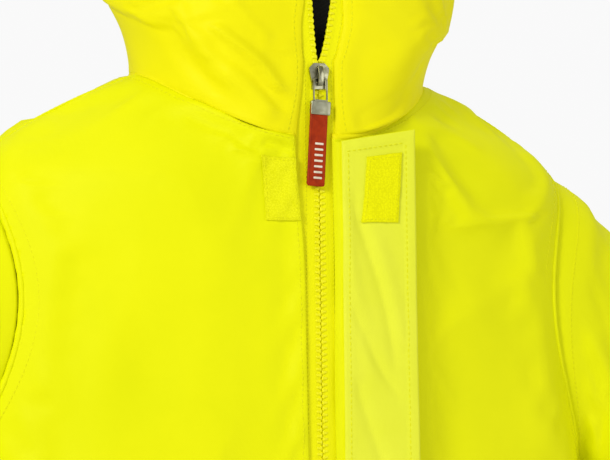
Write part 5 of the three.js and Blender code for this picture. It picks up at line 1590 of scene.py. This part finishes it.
def hood_seam(name, side):
    """The rolled seam between the hood's middle panel and its side."""
    up = np.linspace(0.02, BRIM_ROW - 0.02, 240)
    outer, normals = hoods[side].at(np.full(240, side * (HOOD_SEAM + 0.002)), up)
    inner, others = hoods[0].at(np.full(240, side * HOOD_SEAM), up)
    out = unit(normals + others)
    # The hood seam takes the hood's cloth with its painted warm light.
    welt(name, (outer + inner) / 2 - out * 0.0004, out, (0.0022, 0.0012), hood_cloth_painted_warm_light, "jacket")


def side_seams(name, side):
    """The seam between front and back: up the side to the armhole, and over the shoulder from the armhole
    to the neck."""
    rows = np.linspace(0.03, NECK_ROW - 0.05, 400)
    outer, normals = fronts[side].at(np.full(400, 0.999), rows)
    inner, others = back.at(np.full(400, side * 0.999), rows)
    path, out = (outer + inner) / 2, unit(normals + others)
    clear = armhole_share(path) > 1.02
    below_arm = path[:, 2] < armhole_middle[2]
    for place, part in (("side", clear & below_arm), ("shoulder", clear & ~below_arm)):
        welt(f"{place}_seam_{name}", path[part] - out[part] * 0.0004, out[part], (0.0022, 0.0011),
             shell_cloth, "jacket")


for name, side in SIDES:
    hood_seam(f"hood_seam_{name}", side)
    side_seams(name, side)


# ---------- reflective bands ----------
BAND_TAPE = TRIM * 0.8
ARM_BANDS = {"upper": 0.42, "lower": 0.70}


def band(name, cloth, across, up, body, stands_for, step, wraps=False):
    """A band of reflective tape laid on a cloth, with a row of stitches along each edge."""
    u = steps(across[0], across[1], step)
    v = steps(up[0], up[1], (up[1] - up[0]) / 10, (up[1] - up[0]) * 0.02)
    tape = overlay(cloth, u, v, BAND_TAPE + 0.0002, roll=0.0 if wraps else 0.0003)
    if wraps:
        tape.points[:, -1] = tape.points[:, 0]
        made = sew_tube(name, tape, BAND_TAPE, silver_tape, body, stands_for)
    else:
        made = sew(name, tape, BAND_TAPE, silver_tape, body, stands_for)
    along = np.linspace(across[0], across[1], 300)
    lines = [tape.at(along, np.full(300, mix(up[0], up[1], k)), 0.0001) for k in (0.05, 0.95)]
    return made, stitches(f"{name}_stitching", lines, body, thread_yarn)


for place, height in BAND_HEIGHTS.items():
    low, high = rows_at(np.array([height - BAND_WIDTH, height]))
    for name, side in SIDES:
        node = f"band_{place}_front_{name}"
        band(f"front_band_{place}_{name}", fronts[side], (0.014, 0.992), (low, high), "jacket", [node],
             0.014)
    band(f"back_band_{place}", back, (-0.993, 0.993), (low, high), "jacket", [f"band_{place}_back"], 0.012)
band_share = BAND_WIDTH / (ARM_LENGTH / (1 - CAP_SHARE))
for name, side in SIDES:
    for place, w in ARM_BANDS.items():
        for made in band(f"arm_band_{place}_{name}", sleeves[side], (0.0, 2 * math.pi), (w, w + band_share),
                         None, [f"sleeve_band_{place}_{name}"], 2 * math.pi / 96, wraps=True):
            swing_with(made)


# ---------- pockets ----------
def front_across(side, reach, height):
    """The share of the way across a front panel of a place so far from the middle of the front."""
    return float(from_middle(side)(np.array([[reach]]), np.array([[height]]))[0][0, 0])


def pocket(name, side):
    cloth = fronts[side]
    edges = [POCKET_TOP - POCKET_DEPTH, POCKET_TOP, POCKET_FLAP_TOP, POCKET_FLAP_TOP - POCKET_FLAP]
    bottom, top, flap_top, flap_low = rows_at(np.array(edges))
    low, high = (front_across(side, reach, POCKET_TOP)
                 for reach in (POCKET_START, POCKET_START + POCKET_WIDTH))
    span = high - low
    u = steps(low, high, span / 60, span * 0.005)
    v = steps(bottom, top, (top - bottom) / 56, (top - bottom) * 0.006)
    base = OVER + TRIM + GAP - SHELL
    patch = overlay(cloth, u, v, base + SHELL, roll=0.0)
    x, y = np.meshgrid(np.linspace(0, 1, len(u)), np.linspace(0, 1, len(v)))
    edge = np.minimum.reduce([x * 150, (1 - x) * 150, y * 140])
    full = ease(edge, 2, 42)
    sewn_down = (base - 0.0002) * (1 - ease(edge, 0, 9))
    uneven = 0.0009 * waves(patch.points, 0.026, 91 + side) * ease(edge, 4, 20)
    patch.raised(POCKET_FULLNESS * full - sewn_down + uneven)
    sew(f"pocket_cloth_{name}", patch, SHELL * 0.8, shell_cloth, "jacket", [f"pocket_{name}"],
        held="laid")
    lines = [line_on(patch, low + span * 0.02, (bottom, top), count=120),
             line_on(patch, high - span * 0.02, (bottom, top), count=120),
             line_on(patch, (low + span * 0.02, high - span * 0.02), mix(bottom, top, 0.022), count=120)]
    stitches(f"pocket_stitching_{name}", lines, "jacket", thread_yarn)
    over = base + SHELL + POCKET_FULLNESS
    wide = (low - 0.012, high + 0.012)
    u = steps(*wide, (wide[1] - wide[0]) / 60, span * 0.005)
    v = steps(flap_low, flap_top, (flap_top - flap_low) / 26, (flap_top - flap_low) * 0.015)
    flap = overlay(cloth, u, v, over + 0.0024, roll=0.0006)
    x, y = np.meshgrid(np.linspace(0, 1, len(u)), np.linspace(0, 1, len(v)))
    flap.raised(-0.0022 * ease(y, 0.82, 1.0) + 0.0005 * waves(flap.points, 0.03, 95 + side)
                + 0.0012 * bump(y, 0.45, 0.3))
    sew(f"pocket_flap_cloth_{name}", flap, POCKET_FLAP_THICKNESS, shell_cloth, f"pocket_flap_{name}",
        [f"pocket_flap_{name}"], held="hung")
    inset = (wide[1] - wide[0]) * 0.035
    inner, outer = wide[0] + inset, wide[1] - inset
    foot = mix(flap_low, flap_top, 0.1)
    lines = [line_on(flap, inner, (foot, flap_top), count=60),
             line_on(flap, outer, (foot, flap_top), count=60),
             line_on(flap, (inner, outer), foot, count=160),
             line_on(flap, (inner, outer), mix(flap_low, flap_top, 0.9), count=160)]
    stitches(f"pocket_flap_stitching_{name}", lines, f"pocket_flap_{name}", thread_yarn)
    tape = (mix(low, high, 0.3), mix(low, high, 0.7))
    rows = (mix(flap_low, flap_top, 0.12), mix(flap_low, flap_top, 0.55))
    hooks = overlay(cloth, steps(*tape, (tape[1] - tape[0]) / 20), steps(*rows, (rows[1] - rows[0]) / 8),
                    over, roll=0.0)
    sew(f"pocket_hook_cloth_{name}", hooks, HOOK_STRIP, hook_pile, f"pocket_flap_{name}",
        [f"pocket_hook_tape_{name}"])


for name, side in SIDES:
    pocket(name, side)


# ---------- cuff tabs ----------
# The tab's width, and its middle as a share of the way down the sleeve.
CUFF_TAB_WIDTH = 0.026
CUFF_TAB_PLACE = 0.95
# Where each strip starts and ends, in degrees round the cuff, and how far its face stands off the sleeve.
CUFF_LOOPS = (100, 190, 0.0014)
CUFF_HOOKS = (136, 172, 0.0031)
CUFF_STRAP = (64, 172, 0.0052)


def cuff_tab(name, side):
    cloth = sleeves[side]
    share = CUFF_TAB_WIDTH / (ARM_LENGTH / (1 - CAP_SHARE))
    rows = steps(CUFF_TAB_PLACE - share / 2, CUFF_TAB_PLACE + share / 2, share / 14, share * 0.02)
    degrees = math.radians
    low, high = mix(rows[0], rows[-1], 0.12), mix(rows[0], rows[-1], 0.88)

    def laid(start, end, lift, roll):
        return overlay(cloth, steps(degrees(start), degrees(end), degrees(2.5)), rows, lift, roll)

    loops = laid(*CUFF_LOOPS, 0.0005)
    sew(f"cuff_loop_cloth_{name}", loops, 0.0013, loop_pile, f"sleeve_{name}",
        [f"cuff_loop_tape_{name}"])
    hooks = laid(*CUFF_HOOKS, 0.0003)
    sew(f"cuff_hook_cloth_{name}", hooks, HOOK_STRIP, hook_pile, f"cuff_tab_{name}",
        [f"cuff_hook_tape_{name}"])
    strap = laid(*CUFF_STRAP, 0.0006)
    along = strap.across[None] + 0 * strap.points[..., 0]
    strap.raised(-0.0032 * (1 - ease(along, degrees(66), degrees(98))))
    sew(f"cuff_tab_cloth_{name}", strap, 0.0018, shell_cloth, f"cuff_tab_{name}",
        [f"cuff_tab_{name}"])
    ends = (degrees(67), degrees(169))
    lines = [line_on(strap, ends, row, count=160) for row in (low, high)]
    lines += [line_on(strap, end, (low, high), count=20) for end in ends]
    stitches(f"cuff_tab_stitching_{name}", lines, f"cuff_tab_{name}", thread_yarn)


for name, side in SIDES:
    cuff_tab(name, side)


# ---------- placket, hanger loop and pull tag ----------
def placket():
    """The strip of cloth behind the zip."""
    height = steps(-ZIP_BELOW, -0.006, 0.012)
    across = steps(-0.023, 0.017, 0.004)
    h, x = np.meshgrid(height, across, indexing="ij")
    points = on_zip(x, -0.00455 + 0.0003 * np.sin(h * 60), h)
    cloth = Cloth(points, across, height, points.mean((0, 1)) - ZIP_OUT)
    sew("zip_placket_cloth", cloth, TRIM, lining_cloth, "jacket", ["zip_placket"])


placket()


# The foot of the wire loop, out of the jacket and up the zip, and the pull's lean to one side.
PULL_OUT = 0.0033
PULL_LOW = 0.0225
PULL_LEAN = math.radians(3.6)
# The tag's bars: how many, where the first one is, the distance between them and their width.
GRIP_COUNT, GRIP_START, GRIP_STEP, GRIP_WIDTH = 7, 0.0262, 0.0037, 0.0014


def on_pull(x, depth, down):
    """A point on the hanging pull: across it, out of the jacket and down from the foot of the wire loop."""
    c, s = math.cos(PULL_LEAN), math.sin(PULL_LEAN)
    return on_zip(x * c - down * s, PULL_OUT + depth, PULL_LOW - down * c - x * s)


def rounded_outline(half, top, low, corner, count=5):
    """Points round a box with rounded corners, across and down."""
    points = []
    for k, (x, y) in enumerate(((half, top), (half, low), (-half, low), (-half, top))):
        centre = (x - math.copysign(corner, x), y + (corner if y == top else -corner))
        start = (-90, 0, 90, 180)[k]
        for turn in np.linspace(start, start + 90, count):
            angle = math.radians(turn)
            points.append((centre[0] + corner * math.cos(angle), centre[1] + corner * math.sin(angle)))
    return np.array(points)


def layered(name, layers, material, body, stands_for):
    """A solid made of outlines stacked from back to front."""
    count = len(layers[0])
    faces = grid_faces(len(layers), count, wraps=True).tolist()
    faces += [list(range(count)), [count * (len(layers) - 1) + k for k in range(count)]]
    piece = new_piece(name, np.concatenate(layers).tolist(), faces, material)
    make_outward(piece.data)
    piece.data.set_sharp_from_angle(angle=math.radians(50))
    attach(piece, body)
    if stands_for:
        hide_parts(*stands_for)
    return piece


def pull_clamp():
    """The folded metal plate that holds the tag, with a narrower eye round the wire loop."""
    def block(name, half, top, low, depth, stands_for=()):
        layers = []
        for level, inset in ((-1, 0.0004), (-0.8, 0.0), (0.8, 0.0), (0.93, 0.0002), (1, 0.0006)):
            outline = rounded_outline(half - inset, top + inset, low - inset, 0.0007)
            layers.append(on_pull(outline[:, 0], level * depth, outline[:, 1]))
        layered(name, layers, clamp_metal, "pull_tag", stands_for)

    block("clamp_plate", 0.0066, -0.0009, 0.0080, 0.00180, ["pull_clamp"])
    block("clamp_eye", 0.0040, -0.0018, 0.0006, 0.00125)


def pull_tag():
    """The red tag: a flat strip with a raised rim and plain pale grip bars."""
    half, depth, start, length, aside = 0.0060, 0.00205, 0.0012, 0.0545, -0.0007
    across = steps(-half, half, 0.00030, 0.0003)
    down = steps(start, length, 0.00034, 0.0003)
    t, x = np.meshgrid(down, across, indexing="ij")
    radius = 0.0015
    end = length - t
    near = np.minimum(half - np.abs(x), end)
    squeeze = np.where(end < radius, radius - np.sqrt(np.maximum(0, radius**2 - (radius - end) ** 2)), 0)
    wide = x * (half - squeeze) / half
    rim = 0.00034 * (1 - ease(near, 0.0008, 0.0013))
    edge = 1 - ease(near, 0, 0.0006)
    uneven = 0.00010 * waves(np.stack([x, 0 * x, t], -1), 0.012, 99)
    relief = depth / 2 - 0.0002 + rim - 0.00055 * edge + uneven
    front, behind = on_pull(wide + aside, relief, t), on_pull(wide + aside, -depth / 2 + 0.0005 * edge, t)
    faces = grid_faces(*x.shape)
    points, faces = closed_sheet(front.reshape(-1, 3), behind.reshape(-1, 3), faces[:, ::-1])
    link("pull_tag_rubber", points, faces, rubber, "pull_tag", ["pull_tag"])
    for number in range(GRIP_COUNT):
        top = GRIP_START + GRIP_STEP * number
        layers = []
        for level, inset in ((-0.0007, 0.0), (0.00005, 0.0), (0.00022, 0.00012), (0.00028, 0.0003)):
            outline = rounded_outline(0.0029 - inset, top + inset, top + GRIP_WIDTH - inset, 0.0004, 4)
            layers.append(on_pull(outline[:, 0] + 0.0002, depth / 2 + level, outline[:, 1]))
        layered(f"tag_grip_{number + 1}", layers, pale_rubber, "pull_tag", ())


pull_clamp()
pull_tag()


def hanger():
    """The tape loop inside the back of the neck, with its two ends sewn down."""
    low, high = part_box("hanger_loop")
    half = high.x - 0.0004
    t = np.linspace(-1, 1, 41)
    sag = (1 - t * t) ** 0.8
    y = mix(high.y - 0.0022, low.y + 0.0012, sag)
    z = mix(high.z - 0.0042, low.z + 0.0044, sag)
    width = np.linspace(-0.0038, 0.0038, 9)
    tt, ww = np.meshgrid(np.arange(41), width, indexing="ij")
    points = np.stack([t[tt] * half, y[tt] + 0.0002 * np.cos(ww * 900), z[tt] + ww], -1)
    cloth = Cloth(points, width, np.arange(41), (0, 0.2, 0.02))
    sew("hanger_tape", cloth, 0.0012, lining_cloth, "jacket", ["hanger_loop"])


hanger()

# ---------- hard pieces kept from the frame ----------
for node, material, width in (
    ("zip_slider", steel, 0.00025), ("slider_bridge", steel, 0.0003), ("pull_loop", steel, 0.0),
    ("zip_top_stop_right", zip_plastic, 0.0003), ("zip_top_stop_left", zip_plastic, 0.0003),
    ("zip_pin", zip_plastic, 0.0003), ("zip_box", zip_plastic, 0.0003),
):
    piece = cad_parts[node]
    piece.data.materials.clear()
    piece.data.materials.append(material)
    piece.data.polygons.foreach_set("use_smooth", [True] * len(piece.data.polygons))
    piece.data.set_sharp_from_angle(angle=math.radians(30))
    if width:
        weld = piece.modifiers.new("weld", "WELD")
        weld.merge_threshold = 0.00001
        soft = piece.modifiers.new("rounded edges", "BEVEL")
        soft.width, soft.segments, soft.limit_method, soft.angle_limit = width, 2, "ANGLE", math.radians(35)
        soft.harden_normals = True


# ---------- floor, light and camera ----------
FLOOR_HALF = 6.0
# The studio's light on the jacket, and how bright it is to the camera.
STUDIO_LIGHT, STUDIO_SEEN = 0.46, 0.95
# Each lamp's name, place, aim, size across and power.
LAMPS = (
    ("key", (-1.9, -1.5, 1.1), (0, 0, -0.15), 0.8, 36),
    ("fill", (1.8, -2.2, 0.3), (0, 0, -0.2), 2.2, 15),
    ("top", (0.2, 0.6, 2.3), (0, 0, 0), 1.8, 14),
)
CAMERA_LENS = 135
CAMERA_AIM = Vector((-0.0073, -0.0953, -0.100))
CAMERA_DISTANCE = 1.485
CAMERA_AZIMUTH, CAMERA_ELEVATION, CAMERA_TILT = math.radians(-20), math.radians(1.5), math.radians(1.3)


def stage():
    floor_material, _, sockets = new_material("pale floor", Roughness=0.9)
    sockets["Base Color"].default_value = linear(236, 236, 234)
    z = cad_box[0].z - 0.001
    corners = [(x * FLOOR_HALF, y * FLOOR_HALF, z) for x, y in ((-1, -1), (1, -1), (1, 1), (-1, 1))]
    new_piece("floor", corners, [(0, 1, 2, 3)], floor_material)


def soft_light(name, place, aim, size, power):
    data = bpy.data.lights.new(name, "AREA")
    data.shape, data.size, data.energy = "DISK", size, power
    light = bpy.data.objects.new(name, data)
    light.location = place
    light.rotation_euler = (Vector(aim) - Vector(place)).to_track_quat("-Z", "Y").to_euler()
    bpy.context.scene.collection.objects.link(light)


def light_and_camera():
    scene = bpy.context.scene
    scene.view_settings.view_transform = "Standard"
    world = bpy.data.worlds.new("studio")
    scene.world = world
    world.use_nodes = True
    world.node_tree.nodes["Background"].inputs["Color"].default_value = (1, 1, 1, 1)
    n = Nodes(world.node_tree)
    seen = n.add("ShaderNodeLightPath").outputs["Is Camera Ray"]
    n.put(world.node_tree.nodes["Background"].inputs["Strength"],
          n.ramp(seen, 0.0, 1.0, STUDIO_LIGHT, STUDIO_SEEN))
    for lamp in LAMPS:
        soft_light(*lamp)
    camera = bpy.data.objects.new("camera", bpy.data.cameras.new("camera"))
    camera.data.lens = CAMERA_LENS
    level = math.cos(CAMERA_ELEVATION)
    back_off = Vector((math.sin(CAMERA_AZIMUTH) * level, -math.cos(CAMERA_AZIMUTH) * level,
                       math.sin(CAMERA_ELEVATION)))
    camera.location = CAMERA_AIM + back_off * CAMERA_DISTANCE
    tilt = Quaternion((0, 0, 1), CAMERA_TILT)
    camera.rotation_euler = ((-back_off).to_track_quat("-Z", "Y") @ tilt).to_euler()
    camera.data.clip_end = 50
    scene.collection.objects.link(camera)
    scene.camera = camera


stage()
light_and_camera()
